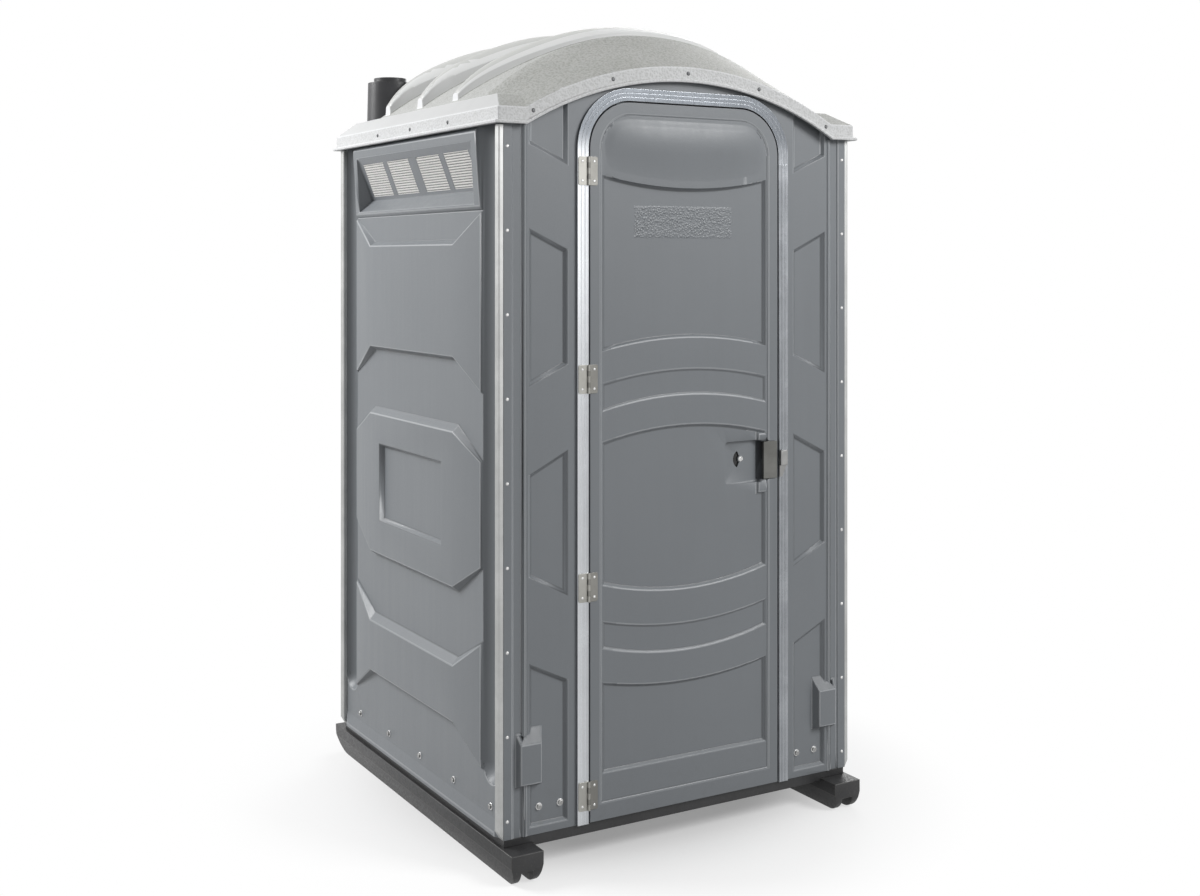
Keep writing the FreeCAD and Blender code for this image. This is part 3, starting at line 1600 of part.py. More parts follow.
def make_holder_rod():
    half = roll_length + roll_gap
    axis = (holder_axis(), at_foot(paper_z))
    rod = Part.makeCylinder(roll_core - roll_play, 2 * half - 1, V(axis[0], paper_y - half + 0.5, axis[1]),
                            V(0, 1, 0))
    stub = half + holder_plate + 2
    return rod.fuse(Part.makeCylinder(holder_stub, 2 * stub, V(axis[0], paper_y - stub, axis[1]), V(0, 1, 0)))


def make_roll(side):
    start = paper_y + (roll_gap / 2 if side > 0 else -roll_gap / 2 - roll_length)
    place = V(holder_axis(), start, at_foot(paper_z))
    roll = Part.makeCylinder(roll_radius, roll_length, place, V(0, 1, 0))
    return roll.cut(Part.makeCylinder(roll_core, roll_length, place, V(0, 1, 0)))


def write(name, shape):
    shape.exportStep("parts/" + name + ".step")


def write_cabin():
    skid = make_skid()
    write("skid_right", skid)
    write("skid_left", mirrored(skid, (1, 0, 0)))
    write("floor_pan", make_floor_pan())
    wall = stand_side(make_side_wall())
    write("side_wall_right", wall)
    write("side_wall_left", mirrored(wall, (1, 0, 0)))
    screens = stand_side(make_vent_screens())
    write("vent_screens_right", screens)
    write("vent_screens_left", mirrored(screens, (1, 0, 0)))
    write("front_wall", stand_front(make_front_wall()))
    write("rear_wall", stand_rear(make_rear_wall()))
    trim = make_corner_trim()
    for end, depth_name in ((1, "front"), (-1, "rear")):
        for side, side_name in ((1, "right"), (-1, "left")):
            piece = trim if side > 0 else mirrored(trim, (1, 0, 0))
            piece = piece if end > 0 else mirrored(piece, (0, 1, 0))
            write("corner_trim_" + depth_name + "_" + side_name, piece)
    write("trim_rivets", make_trim_rivets())
    write("wall_bolts", make_wall_bolts())
    write("wall_washers", make_wall_washers())
    write("skid_bolts", make_skid_bolts())
    write("roof_shell", make_roof())
    write("roof_screws", make_roof_screws())
    write("vent_stack", make_stack())
    write("vent_boot", make_boot())


def write_doorway():
    write("door_jamb_right", make_jamb(1))
    write("door_jamb_left", make_jamb(-1))
    write("door_header", make_header())
    write("latch_keeper", stand_door(make_keeper()))
    for number, z in enumerate(hinge_heights, 1):
        write("hinge_frame_leaf_%d" % number, make_hinge_leaf(z, -1, 0, hinge_pin_radius))
        write("hinge_door_leaf_%d" % number, make_hinge_leaf(z, 1, 1, hinge_pin_radius + hinge_play))
        write("hinge_pin_%d" % number, make_hinge_pin(z))
    write("hinge_frame_rivets", make_hinge_rivets(-1))
    write("hinge_door_rivets", make_hinge_rivets(1))


def write_door():
    pieces = {
        "door_outer_skin": make_outer_skin(),
        "door_inner_skin": make_inner_skin(),
        "pull_plate": make_pull_plate(),
        "latch_case": make_case(),
        "latch_bolt": make_bolt(),
        "latch_spindle": make_spindle(),
        "latch_lever": make_lever(),
        "indicator_dial": make_dial(),
    }
    for name, piece in pieces.items():
        write(name, stand_door(piece))


def write_inside():
    write("waste_tank", make_tank())
    write("seat_ring", make_ring())
    write("seat_lid", make_lid())
    write("seat_hinge_pin", seat_bore(seat_pin_radius))
    write("urinal", make_urinal())
    write("urinal_drain", make_drain())
    write("paper_holder", make_holder())
    write("paper_rod", make_holder_rod())
    write("paper_roll_front", make_roll(-1))
    write("paper_roll_rear", make_roll(1))


os.makedirs("parts", exist_ok=True)
write_cabin()
write_doorway()
write_door()
write_inside()
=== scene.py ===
import json
import math

import bmesh
import bpy
from mathutils import Matrix, Vector, noise
from mathutils.bvhtree import BVHTree


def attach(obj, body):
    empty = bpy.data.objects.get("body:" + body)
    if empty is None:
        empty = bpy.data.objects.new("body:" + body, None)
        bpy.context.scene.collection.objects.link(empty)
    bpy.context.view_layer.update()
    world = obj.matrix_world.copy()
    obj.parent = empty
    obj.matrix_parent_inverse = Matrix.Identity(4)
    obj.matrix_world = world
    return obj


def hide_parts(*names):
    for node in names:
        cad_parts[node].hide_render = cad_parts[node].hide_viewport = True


# Looks for the portable toilet cabin. Metres; the door side faces -Y and Z is up.

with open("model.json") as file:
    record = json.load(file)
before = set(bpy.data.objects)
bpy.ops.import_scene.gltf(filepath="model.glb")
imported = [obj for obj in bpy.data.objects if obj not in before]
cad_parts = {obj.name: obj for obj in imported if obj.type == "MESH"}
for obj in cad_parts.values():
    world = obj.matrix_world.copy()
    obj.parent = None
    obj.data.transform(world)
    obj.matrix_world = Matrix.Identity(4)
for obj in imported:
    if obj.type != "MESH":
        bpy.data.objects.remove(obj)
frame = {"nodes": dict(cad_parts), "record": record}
nodes = frame["nodes"]
bodyOf = {node: body for body, members in frame["record"]["behaviour"]["bodies"].items() for node in members}
slotOf = {part["node"]: part["material_slot"] for part in frame["record"]["subparts"]}
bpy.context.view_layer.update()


def bounded(value, low, high):
    return min(max(value, low), high)


def eased(share):
    share = bounded(share, 0.0, 1.0)
    return share * share * (3 - 2 * share)


# Shader maths: a socket that can be added, subtracted and scaled

class Wire:
    def __init__(self, finish, socket):
        self.finish = finish
        self.socket = socket

    def math(self, operation, first, second):
        return self.finish.node("ShaderNodeMath", {"operation": operation}, {0: first, 1: second})

    def __add__(self, other):
        return self.math("ADD", self, other)

    def __radd__(self, other):
        return self.math("ADD", other, self)

    def __rsub__(self, other):
        return self.math("SUBTRACT", other, self)

    def __mul__(self, other):
        return self.math("MULTIPLY", self, other)

    def largest(self, other):
        return self.math("MAXIMUM", self, other)

    def ramp(self, low, high, start=0.0, end=1.0):
        return self.finish.node(
            "ShaderNodeMapRange", {"interpolation_type": "SMOOTHSTEP", "clamp": True},
            {"Value": self, "From Min": low, "From Max": high, "To Min": start, "To Max": end})


class Finish:
    edgeSamples = 6

    def __init__(self, tree, shader=None):
        self.tree = tree
        self.shader = shader

    def node(self, kind, settings, values, output=0):
        made = self.tree.nodes.new(kind)
        for key, value in settings.items():
            setattr(made, key, value)
        for key, value in values.items():
            self.feed(made.inputs[key], value)
        return Wire(self, made.outputs[output])

    def feed(self, socket, value):
        if isinstance(value, Wire):
            self.tree.links.new(value.socket, socket)
        elif isinstance(value, tuple) and len(value) == 3 and socket.type == "RGBA":
            socket.default_value = (*value, 1.0)
        else:
            socket.default_value = value

    def set(self, **values):
        for key, value in values.items():
            self.feed(self.shader.inputs[key.replace("_", " ")], value)

    def place(self):
        return self.node("ShaderNodeTexCoord", {}, {}, "Object")

    def axis(self, name):
        return self.node("ShaderNodeSeparateXYZ", {}, {0: self.place()}, name)

    def noise(self, scale, detail=3.0, rough=0.55, place=None):
        return self.node("ShaderNodeTexNoise", {"normalize": True},
                         {"Vector": place or self.place(), "Scale": scale, "Detail": detail, "Roughness": rough})

    def streaks(self, stretch, detail, rough):
        place = self.node("ShaderNodeMapping", {}, {"Vector": self.place(), "Scale": stretch})
        return self.noise(1.0, detail, rough, place)

    def cells(self, scale, feature="F1"):
        return self.node("ShaderNodeTexVoronoi", {"feature": feature}, {"Vector": self.place(), "Scale": scale})

    def mark(self, name):
        return self.node("ShaderNodeAttribute", {"attribute_name": name}, {}, "Fac")

    def blend(self, share, first, second, settings=None):
        return self.node("ShaderNodeMix", {"data_type": "RGBA", **(settings or {})}, {0: share, 6: first, 7: second}, 2)

    def bump(self, height, distance, strength=1.0):
        soft = self.node("ShaderNodeBevel", {"samples": self.edgeSamples}, {"Radius": self.edge})
        return self.node("ShaderNodeBump", {},
                         {"Height": height, "Distance": distance, "Strength": strength, "Normal": soft})


def newFinish(name, edge=0.001):
    material = bpy.data.materials.new(name)
    material.use_nodes = True
    finish = Finish(material.node_tree, material.node_tree.nodes["Principled BSDF"])
    finish.material = material
    finish.edge = edge
    return finish


def linear(red, green, blue):
    # An sRGB colour of 0 to 255 as the shader's linear values
    return tuple(((c / 255 + 0.055) / 1.055) ** 2.4 if c > 10 else c / 255 / 12.92 for c in (red, green, blue))


def shifted(tone, by):
    darkest, palest = 2, 252
    return linear(*[bounded(c + by, darkest, palest) for c in tone])


# Finishes: noises are given as scale, detail and roughness, streaks as stretch, detail and roughness

# where most of a noise's values lie
noiseRange = (0.3, 0.7)

mouldedGrey = {
    "tone": (122, 126, 130), "spread": 2.5, "edge": 0.0016,
    "clouds": (2.0, 3.0, 0.6), "streaks": ((40.0, 40.0, 1.6), 4.0, 0.7), "speckle": (434.0, 2.0, 0.6),
    "cloudShare": 0.45, "streakShare": 0.15, "speckleShare": 0.40,
    "rim": (196, 199, 202), "rimHighlightShare": 0.46, "creaseShade": (84, 87, 90), "creaseShadeShare": 0.50,
    "scuff": (176, 178, 180), "scuffShare": 0.14, "hairs": ((46.0, 46.0, 300.0), 6.0, 0.75),
    "hairRange": (0.68, 0.80), "scuffed": (2.6, 2.0), "scuffedRange": (0.55, 0.72),
    "dust": (96, 96, 94), "dustShare": 0.28, "dustHeights": (0.10, 0.34), "dusty": (24.0, 6.0, 0.7),
    "dustyRange": (0.52, 0.80),
    "grain": 620.0, "grainHeight": 0.00022, "swell": (30.0, 3.0), "cellShare": 0.7, "fineShare": 0.7,
    "swellShare": 1.2, "roughness": (0.34, 0.48),
}


def greyWallFinish():
    p = mouldedGrey
    f = newFinish("grey_polyethylene", p["edge"])
    streaks = f.streaks(*p["streaks"])
    speckle = f.noise(*p["speckle"])
    shade = f.noise(*p["clouds"]) * p["cloudShare"] + streaks * p["streakShare"] + speckle * p["speckleShare"]
    colour = f.blend(shade.ramp(*noiseRange), shifted(p["tone"], -p["spread"]), shifted(p["tone"], p["spread"]))
    fold = f.mark("fold")
    # Rounded edges that stand out get a painted highlight, edges in corners get painted shade
    colour = f.blend(fold.ramp(0.0, 1.0, 0.0, p["rimHighlightShare"]), colour, linear(*p["rim"]))
    colour = f.blend(fold.ramp(-1.0, 0.0, p["creaseShadeShare"], 0.0), colour, linear(*p["creaseShade"]))
    hair = f.streaks(*p["hairs"]).ramp(*p["hairRange"])
    scuffed = f.noise(*p["scuffed"]).ramp(*p["scuffedRange"])
    colour = f.blend(hair * scuffed * p["scuffShare"], colour, linear(*p["scuff"]))
    dust = f.axis("Z").ramp(*p["dustHeights"], 1.0, 0.0) * f.noise(*p["dusty"]).ramp(*p["dustyRange"])
    colour = f.blend(dust * p["dustShare"], colour, linear(*p["dust"]))
    grain = f.cells(p["grain"]) * p["cellShare"] + speckle * p["fineShare"] + f.noise(*p["swell"]) * p["swellShare"]
    matt = (streaks * 0.5 + f.noise(p["grain"], 2.0) * 0.5).ramp(*noiseRange, *p["roughness"])
    f.set(Base_Color=colour, Normal=f.bump(grain, p["grainHeight"]), Roughness=matt)
    return f.material


roofLook = {
    "shade": (150, 151, 147), "light": (230, 231, 233), "warm": (0.985, 0.985, 0.955), "edge": 0.0022,
    "clouds": (5.0, 4.0, 0.6), "cloudShare": 0.03, "foldLightShare": 0.16,
    "pebble": 185.0, "wrinkles": (101.75, 3.0, 0.6), "pebbleShare": 0.6, "wrinkleShare": 0.4,
    "speckleRange": (0.28, 0.56), "speckleShare": 0.26,
    "roughness": 0.44, "pebbledRougher": 0.10, "grainRougher": 0.08,
    "pebbleHeight": 0.0020, "pebbleRise": 0.8, "wrinkleRise": 0.5, "pebbledBump": 0.85, "smoothBump": 0.03,
}


def roofFinish():
    # The marks say where the shell is pebbled, how pale it looks, partly through painted light, and where thin plastic
    # warms the light
    p = roofLook
    f = newFinish("translucent_roof", p["edge"])
    pebbled = f.mark("pebbled")
    pebbles = f.cells(p["pebble"], "SMOOTH_F1")
    wrinkles = f.noise(*p["wrinkles"])
    clouds = f.noise(*p["clouds"]).ramp(*noiseRange, -p["cloudShare"], p["cloudShare"])
    grain = pebbles * p["pebbleShare"] + wrinkles * p["wrinkleShare"]
    speckle = grain.ramp(*p["speckleRange"], -0.5, 0.5) * pebbled * p["speckleShare"]
    # Paleness per place, partly painted light, plus a painted highlight on standing edges and painted shade in corners
    paleAndPaintedLight = f.mark("paleAndPaintedLight") + clouds + speckle + f.mark("fold") * p["foldLightShare"]
    colour = f.blend(paleAndPaintedLight, linear(*p["shade"]), linear(*p["light"]))
    warmed = f.blend(f.mark("thin"), colour, p["warm"], {"blend_type": "MULTIPLY"})
    f.set(Base_Color=warmed, Roughness=p["roughness"] + pebbled * p["pebbledRougher"] + pebbles * p["grainRougher"],
          Normal=f.bump(pebbles * p["pebbleRise"] + wrinkles * p["wrinkleRise"], p["pebbleHeight"],
                        pebbled * p["pebbledBump"] + p["smoothBump"]))
    return f.material


skidLook = {
    "tone": (35, 35, 36), "lighter": 14, "edge": 0.004, "clouds": (7.0, 5.0, 0.65), "grit": (170.0, 4.0, 0.7),
    "worn": (112, 110, 106), "drag": ((260.0, 3.5, 90.0), 5.0, 0.8), "dragRange": (0.58, 0.74), "dragShare": 0.30,
    "scratch": (142, 139, 134), "rub": ((60.0, 14.0, 380.0), 5.0, 0.7), "rubRange": (0.62, 0.76),
    "rubbedRange": (0.45, 0.7), "rubShare": 0.30, "rimRange": (0.35, 0.65, 0.15, 0.6),
    "roughness": (0.36, 0.56), "gritRise": 0.5, "cloudRise": 1.6, "dragRise": 0.4, "height": 0.0007, "bump": 0.8,
}


def skidFinish():
    p = skidLook
    f = newFinish("black_polyethylene", p["edge"])
    clouds = f.noise(*p["clouds"])
    grit = f.noise(*p["grit"])
    colour = f.blend(clouds.ramp(*noiseRange), linear(*p["tone"]), shifted(p["tone"], p["lighter"]))
    drag = f.streaks(*p["drag"]).ramp(*p["dragRange"])
    colour = f.blend(drag * p["dragShare"], colour, linear(*p["worn"]))
    rub = f.streaks(*p["rub"]).ramp(*p["rubRange"]) * clouds.ramp(*p["rubbedRange"])
    colour = f.blend(rub * p["rubShare"], colour, linear(*p["scratch"]))
    colour = f.blend(f.mark("fold").ramp(0.0, 1.0) * grit.ramp(*p["rimRange"]), colour, linear(*p["worn"]))
    relief = grit * p["gritRise"] + clouds * p["cloudRise"] + drag * p["dragRise"]
    f.set(Base_Color=colour, Roughness=grit.ramp(*noiseRange, *p["roughness"]),
          Normal=f.bump(relief, p["height"], p["bump"]))
    return f.material


metalLook = {
    "stain": (11.0, 5.0, 0.65), "stainRange": (0.3, 0.75, 0.0, 0.8), "brushedShare": 0.2, "darker": -16, "lighter": 6,
    "rimHighlight": 70, "rimHighlightShare": 0.6, "brushedRange": (0.25, 0.75), "smoother": 0.08, "rougher": 0.12,
    "roughStain": (0.55, 0.8), "stainRougher": 0.08,
}
# the frame's aluminium has a painted reflection on the hinge side and painted shade at the header
frameTones = {"hingeSide": (-0.40, -0.25), "hingeGlintShare": 0.75, "paintedGlint": (226, 228, 230),
              "header": (1.86, 1.95), "headerShare": 0.85, "paintedShade": (98, 102, 107)}


def metalFinish(name, tone, roughness, grain, grainHeight, edge=0.0008):
    p, t = metalLook, frameTones
    f = newFinish(name, edge)
    brushed = f.streaks(grain, 4.0, 0.75)
    stain = f.noise(*p["stain"])
    shade = stain.ramp(*p["stainRange"]) + brushed.ramp(*noiseRange, 0.0, p["brushedShare"])
    colour = f.blend(shade, shifted(tone, p["darker"]), shifted(tone, p["lighter"]))
    # A painted reflection brightens the hinge side and painted shade dims the header
    if name == "frame_aluminium":
        header = f.axis("Z").ramp(*t["header"])
        hingeGlint = f.axis("X").ramp(*t["hingeSide"], t["hingeGlintShare"], 0.0) * (1.0 - header)
        colour = f.blend(header * t["headerShare"], f.blend(hingeGlint, colour, linear(*t["paintedGlint"])), linear(*t["paintedShade"]))
    # Rounded edges that stand out get a painted highlight
    colour = f.blend(f.mark("fold").ramp(0.0, 1.0, 0.0, p["rimHighlightShare"]), colour, shifted(tone, p["rimHighlight"]))
    matt = (brushed.ramp(*p["brushedRange"], roughness - p["smoother"], roughness + p["rougher"])
            + stain.ramp(*p["roughStain"]) * p["stainRougher"])
    f.set(Base_Color=colour, Metallic=1.0, Roughness=matt, Normal=f.bump(brushed, grainHeight))
    return f.material


plainLook = {"cloudSize": 14, "clouds": (5.0, 0.6), "grain": (3.0, 0.6), "roughnessSpread": 0.05}


def plainFinish(name, tone, roughness, grainScale, grainHeight, spread=10, edge=0.0012):
    p = plainLook
    f = newFinish(name, edge)
    clouds = f.noise(grainScale / p["cloudSize"], *p["clouds"])
    grain = f.noise(grainScale, *p["grain"])
    matt = grain.ramp(*noiseRange, roughness - p["roughnessSpread"], roughness + p["roughnessSpread"])
    f.set(Base_Color=f.blend(clouds.ramp(*noiseRange), shifted(tone, -spread), linear(*tone)),
          Roughness=matt, Normal=f.bump(grain, grainHeight))
    return f.material


paperLook = {"layers": ((700.0, 30.0, 700.0), 3.0, 0.6), "shade": (214, 211, 204), "light": (238, 236, 231),
             "roughness": 0.9, "height": 0.0004}


def paperFinish():
    p = paperLook
    f = newFinish("paper")
    layers = f.streaks(*p["layers"])
    f.set(Base_Color=f.blend(layers.ramp(*noiseRange), linear(*p["shade"]), linear(*p["light"])),
          Roughness=p["roughness"], Normal=f.bump(layers, p["height"]))
    return f.material


# each metal: tone, roughness, stretch and height of its grain, and the width of its soft edges
crosswise, allWays = (40.0, 40.0, 900.0), (260.0, 260.0, 260.0)
metals = {
    "frame_aluminium": ((152, 155, 159), 0.26, (900.0, 900.0, 6.0), 0.00002),
    "trim_aluminium": ((180, 181, 180), 0.45, (700.0, 700.0, 9.0), 0.00005),
    "stainless": ((108, 108, 105), 0.40, crosswise, 0.00004),
    "pale_stainless": ((158, 157, 152), 0.44, crosswise, 0.00004),
    "mild_stainless": ((130, 129, 125), 0.44, crosswise, 0.00004),
    "bright_steel": ((205, 205, 204), 0.42, allWays, 0.00005, 0.0004),
    "dull_steel": ((92, 93, 94), 0.50, allWays, 0.00005, 0.0004),
    "zinc_steel": ((150, 150, 149), 0.34, allWays, 0.00006, 0.0004),
}
# each plain plastic: tone, roughness, scale and height of its grain, spread of its tone, width of its soft edges
plastics = {
    "screen_white": ((240, 239, 236), 0.5, 500.0, 0.00006, 6, 0.0004),
    "pipe_black": ((44, 44, 47), 0.38, 260.0, 0.0002),
    "tank_grey": ((96, 99, 102), 0.45, 300.0, 0.0002),
    "seat_white": ((226, 226, 222), 0.22, 120.0, 0.00005, 6, 0.003),
    "dial_black": ((20, 20, 21), 0.30, 200.0, 0.00005, 6),
}
finishes = {"grey_polyethylene": greyWallFinish(), "translucent_roof": roofFinish(),
            "black_polyethylene": skidFinish(), "paper": paperFinish()}
finishes.update({name: metalFinish(name, *look) for name, look in metals.items()})
finishes.update({name: plainFinish(name, *look) for name, look in plastics.items()})
print("finishes made:", len(finishes))


# Turning a bmesh into a piece that rides on a body

def placeObject(name, data):
    made = bpy.data.objects.new(name, data)
    bpy.context.scene.collection.objects.link(made)
    return made


def placeMesh(name, work):
    mesh = bpy.data.meshes.new(name)
    work.to_mesh(mesh)
    work.free()
    return placeObject(name, mesh)


def putPiece(name, work, slot, body, *stoodFor, look=None):
    piece = placeMesh(name, work)
    piece.data.materials.append(finishes[look or slot])
    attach(piece, body)
    if stoodFor:
        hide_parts(*stoodFor)
    return piece


def putFor(node, work, look=None):
    return putPiece(node + "_look", work, slotOf[node], bodyOf[node], node, look=look)


def smoothUpTo(piece, angle=32.0):
    for polygon in piece.data.polygons:
        polygon.use_smooth = True
    piece.data.set_sharp_from_angle(angle=math.radians(angle))


def bendOf(edge):
    return edge.calc_face_angle(0.0) if len(edge.link_faces) == 2 else 0.0


def fillHoles(work):
    rims = [edge for edge in work.edges if edge.is_boundary]
    if rims:
        bmesh.ops.holes_fill(work, edges=rims, sides=0)


# CAD pieces with real rounded edges: a merged copy stands for each node

edgeRules = {"mergeGap": 0.00002, "flatAngle": 0.03, "strayShare": 0.5, "foldGain": 2.2}


# rounding: width of the rounded edge, its steps, the least and greatest angle that is rounded, the shortest
# edge that is rounded and whether the width gives way where edges are close
def softEdge(width, steps):
    return (width, steps, 28.0, 180.0, 0.0, True)


moulded = (0.0026, 3, 9.0, 72.0, 0.0046, False)
rounding = {
    "default": softEdge(0.0006, 2),
    "side_wall_left": moulded,
    "side_wall_right": moulded,
    "rear_wall": moulded,
    "front_wall": moulded,
    "door_outer_skin": moulded,
    "roof_shell": (0.0026, 3, 26.0, 180.0, 0.006, False),
    "floor_pan": softEdge(0.002, 2),
    "waste_tank": softEdge(0.006, 3),
    "seat_ring": softEdge(0.006, 3),
    "seat_lid": softEdge(0.005, 3),
    "urinal": softEdge(0.003, 3),
    "latch_case": softEdge(0.0015, 2),
    "latch_lever": softEdge(0.002, 3),
    "pull_plate": softEdge(0.0014, 3),
}
# pieces that look unlike the rest of their slot
lookOf = {"wall_washers": "bright_steel", "latch_spindle": "bright_steel", "trim_rivets": "bright_steel",
          "hinge_frame_rivets": "bright_steel", "hinge_door_rivets": "bright_steel", "latch_keeper": "zinc_steel",
          "roof_screws": "dull_steel"}
for number in "1234":
    lookOf["hinge_frame_leaf_" + number] = "pale_stainless"
    lookOf["hinge_door_leaf_" + number] = "mild_stainless"
    lookOf["hinge_pin_" + number] = "bright_steel"


latchZone = {"x": (0.185, 0.345), "y": (-0.60, -0.50), "z": (0.950, 1.088)}


def nearLatch(edge):
    # The pocket's folds lie too close together to be rounded
    middle = (edge.verts[0].co + edge.verts[1].co) / 2
    return all(low < value < high for value, (low, high) in zip(middle, latchZone.values()))


def mergedCopy(node):
    work = bmesh.new()
    work.from_mesh(nodes[node].data)
    work.faces.layers.float.new("fold")
    bmesh.ops.remove_doubles(work, verts=work.verts, dist=edgeRules["mergeGap"])
    if rounding.get(node) is not moulded:
        bmesh.ops.dissolve_limit(work, angle_limit=math.radians(edgeRules["flatAngle"]), verts=work.verts,
                                 edges=work.edges)
    return work


def roundEdges(work, width, steps, least, most=180.0, shortest=0.0, giveWay=True):
    # The fold mark is above 0 where a rounded edge stands out and below 0 where it lies in a corner; the finishes paint
    # a highlight on standing edges and, on grey walls and the roof, shade in corners
    p = edgeRules
    edges = [edge for edge in work.edges if math.radians(least) < bendOf(edge) < math.radians(most)
             and edge.calc_length() > shortest and not nearLatch(edge)]
    if not edges:
        return
    surface = BVHTree.FromBMesh(work)
    made = bmesh.ops.bevel(work, geom=edges, offset=width, segments=steps, profile=0.5, affect="EDGES",
                           clamp_overlap=giveWay, material=-1, offset_type="OFFSET")
    for vert in made["verts"]:
        nearest, _, _, gap = surface.find_nearest(vert.co)
        if gap > width * p["strayShare"]:
            vert.co = nearest
    work.normal_update()
    fold = work.faces.layers.float["fold"]
    for face in made["faces"]:
        turn = sum(edge.calc_face_angle_signed(0.0) for edge in face.edges if len(edge.link_faces) == 2)
        face[fold] = bounded(turn * p["foldGain"], -1.0, 1.0)


domePeak = {"x": 0.0, "z": 1.901, "y": (-0.586, -0.576), "radius": 0.026}


def flattenPeak(work):
    # The crowned field's middle becomes one face, because its slivers would shade dark
    p = domePeak
    inside = [vert for vert in work.verts if p["y"][0] < vert.co.y < p["y"][1]
              and math.hypot(vert.co.x - p["x"], vert.co.z - p["z"]) < p["radius"]]
    bmesh.ops.delete(work, geom=inside, context="VERTS")
    fillHoles(work)


def dressNode(node):
    work = mergedCopy(node)
    if node == "door_outer_skin":
        flattenPeak(work)
    roundEdges(work, *rounding.get(node, rounding["default"]))
    piece = putFor(node, work, lookOf.get(node))
    smoothUpTo(piece)
    piece.modifiers.new("flats", "WEIGHTED_NORMAL").keep_sharp = True
    return piece


rebuilt = ("skid_left", "skid_right", "vent_screens_left", "vent_screens_right")
lugTops = {"z": (0.20, 0.60), "least": 0.35, "fold": -0.8}


def shadeLugTops(piece):
    # The lugs' upward faces get the painted crease shade, so they don't stand out from the wall
    p = lugTops
    fold = piece.data.attributes["fold"]
    for polygon in piece.data.polygons:
        if p["z"][0] < polygon.center.z < p["z"][1] and polygon.normal.z > p["least"]:
            fold.data[polygon.index].value = p["fold"]


dressed = {node: dressNode(node) for node in sorted(nodes) if node not in rebuilt}
shadeLugTops(dressed["front_wall"])
print("nodes dressed:", len(dressed))


# Roof marks: pebbled skirt and slopes, smooth ribs and bands, white fins at the ribs' ends

roofParts = {"vaultHalf": 0.530, "vaultEdge": 2.026, "vaultCrown": 2.228, "vaultFront": -0.394,
             "vaultRear": 0.430, "ribHalf": 0.518, "skirtTop": 1.985, "bandTop": 2.027, "skirtFace": 0.578,
             "sideFace": 0.577}
# how far a face's middle may lie from the part that it belongs to, and how squarely a fin or a rib's front faces
roofSlack = {"face": 0.001, "vaultEnd": 0.02, "ribEnd": 0.003, "finDepth": 0.006, "ribRise": 0.0035, "band": 0.004,
             "finTurn": 0.9, "frontTurn": -0.3}
# each place: pebbled, pale and thin shares; the pale share is partly painted light, as rib fronts are made paler than
# ribs to lift their shade
roofTones = {"skirtSide": (0.75, 0.64, 0.0), "skirtEnd": (0.75, 0.58, 0.1), "band": (0.04, 0.56, 0.0),
             "fin": (0.0, 1.0, 0.0), "slope": (1.0, 0.20, 0.7), "valley": (0.95, 0.34, 0.6),
             "rib": (0.0, 0.50, 0.9), "ribFront": (0.0, 0.82, 0.7), "corner": (0.6, 0.42, 0.2)}


def vaultHeight(x):
    p = roofParts
    rise = p["vaultCrown"] - p["vaultEdge"]
    radius = (p["vaultHalf"] ** 2 + rise ** 2) / (2 * rise)
    return p["vaultCrown"] - radius + math.sqrt(max(radius ** 2 - x * x, 0.0))


def roofPlace(centre, normal):
    p, s = roofParts, roofSlack
    x, y, z = centre
    alongVault = p["vaultFront"] - s["vaultEnd"] < y < p["vaultRear"] + s["vaultEnd"]
    onVault = alongVault and abs(x) < p["ribHalf"] + s["ribEnd"]
    if z < p["skirtTop"] + s["face"] and abs(x) > p["sideFace"]:
        return "skirtSide"
    if abs(y) > p["skirtFace"]:
        return "skirtEnd"
    if onVault and abs(normal.x) > s["finTurn"] and abs(x) > p["ribHalf"] - s["finDepth"]:
        return "fin"
    if onVault and z > vaultHeight(x) + s["ribRise"]:
        return "ribFront" if normal.y < s["frontTurn"] else "rib"
    if z < p["bandTop"] and abs(x) > p["vaultHalf"] - s["band"]:
        return "band" if abs(normal.x) > abs(normal.y) else "corner"
    if y < p["vaultFront"] - s["face"] or y > p["vaultRear"] + s["face"]:
        return "slope"
    return "valley"


def markRoof(piece):
    places = [roofTones[roofPlace(polygon.center, polygon.normal)] for polygon in piece.data.polygons]
    for i, name in enumerate(("pebbled", "paleAndPaintedLight", "thin")):
        layer = piece.data.attributes.new(name, "FLOAT", "FACE")
        layer.data.foreach_set("value", [place[i] for place in places])


markRoof(dressed["roof_shell"])
print("roof marked")


# Skids: a bar with a strap channel, a rounded nose and tail and soft worn edges

skidShape = {"inner": 0.475, "outer": 0.567, "tuck": 0.013, "shoulder": 0.048, "top": 0.081, "channelHalf": 0.0195,
             "channelTop": 0.035, "channelDraft": 0.002, "half": 0.630, "nose": 0.040, "tail": 0.076,
             "arcSteps": 8, "cutGap": 0.000001, "edge": (0.0028, 3, 15.0)}


def cutRound(work, end, radius):
    # Planes along the arc take the lower corner off one end of the bar
    p = skidShape
    middle = Vector((0, end * (p["half"] - radius), radius))
    for i in range(p["arcSteps"]):
        turn = math.radians(90 * (i + 0.5) / p["arcSteps"])
        outward = Vector((0, end * math.sin(turn), -math.cos(turn)))
        reach = radius * math.cos(math.radians(45 / p["arcSteps"]))
        geometry = work.verts[:] + work.edges[:] + work.faces[:]
        bmesh.ops.bisect_plane(work, geom=geometry, plane_co=middle + outward * reach, plane_no=outward,
                               clear_outer=True, dist=p["cutGap"])
        fillHoles(work)


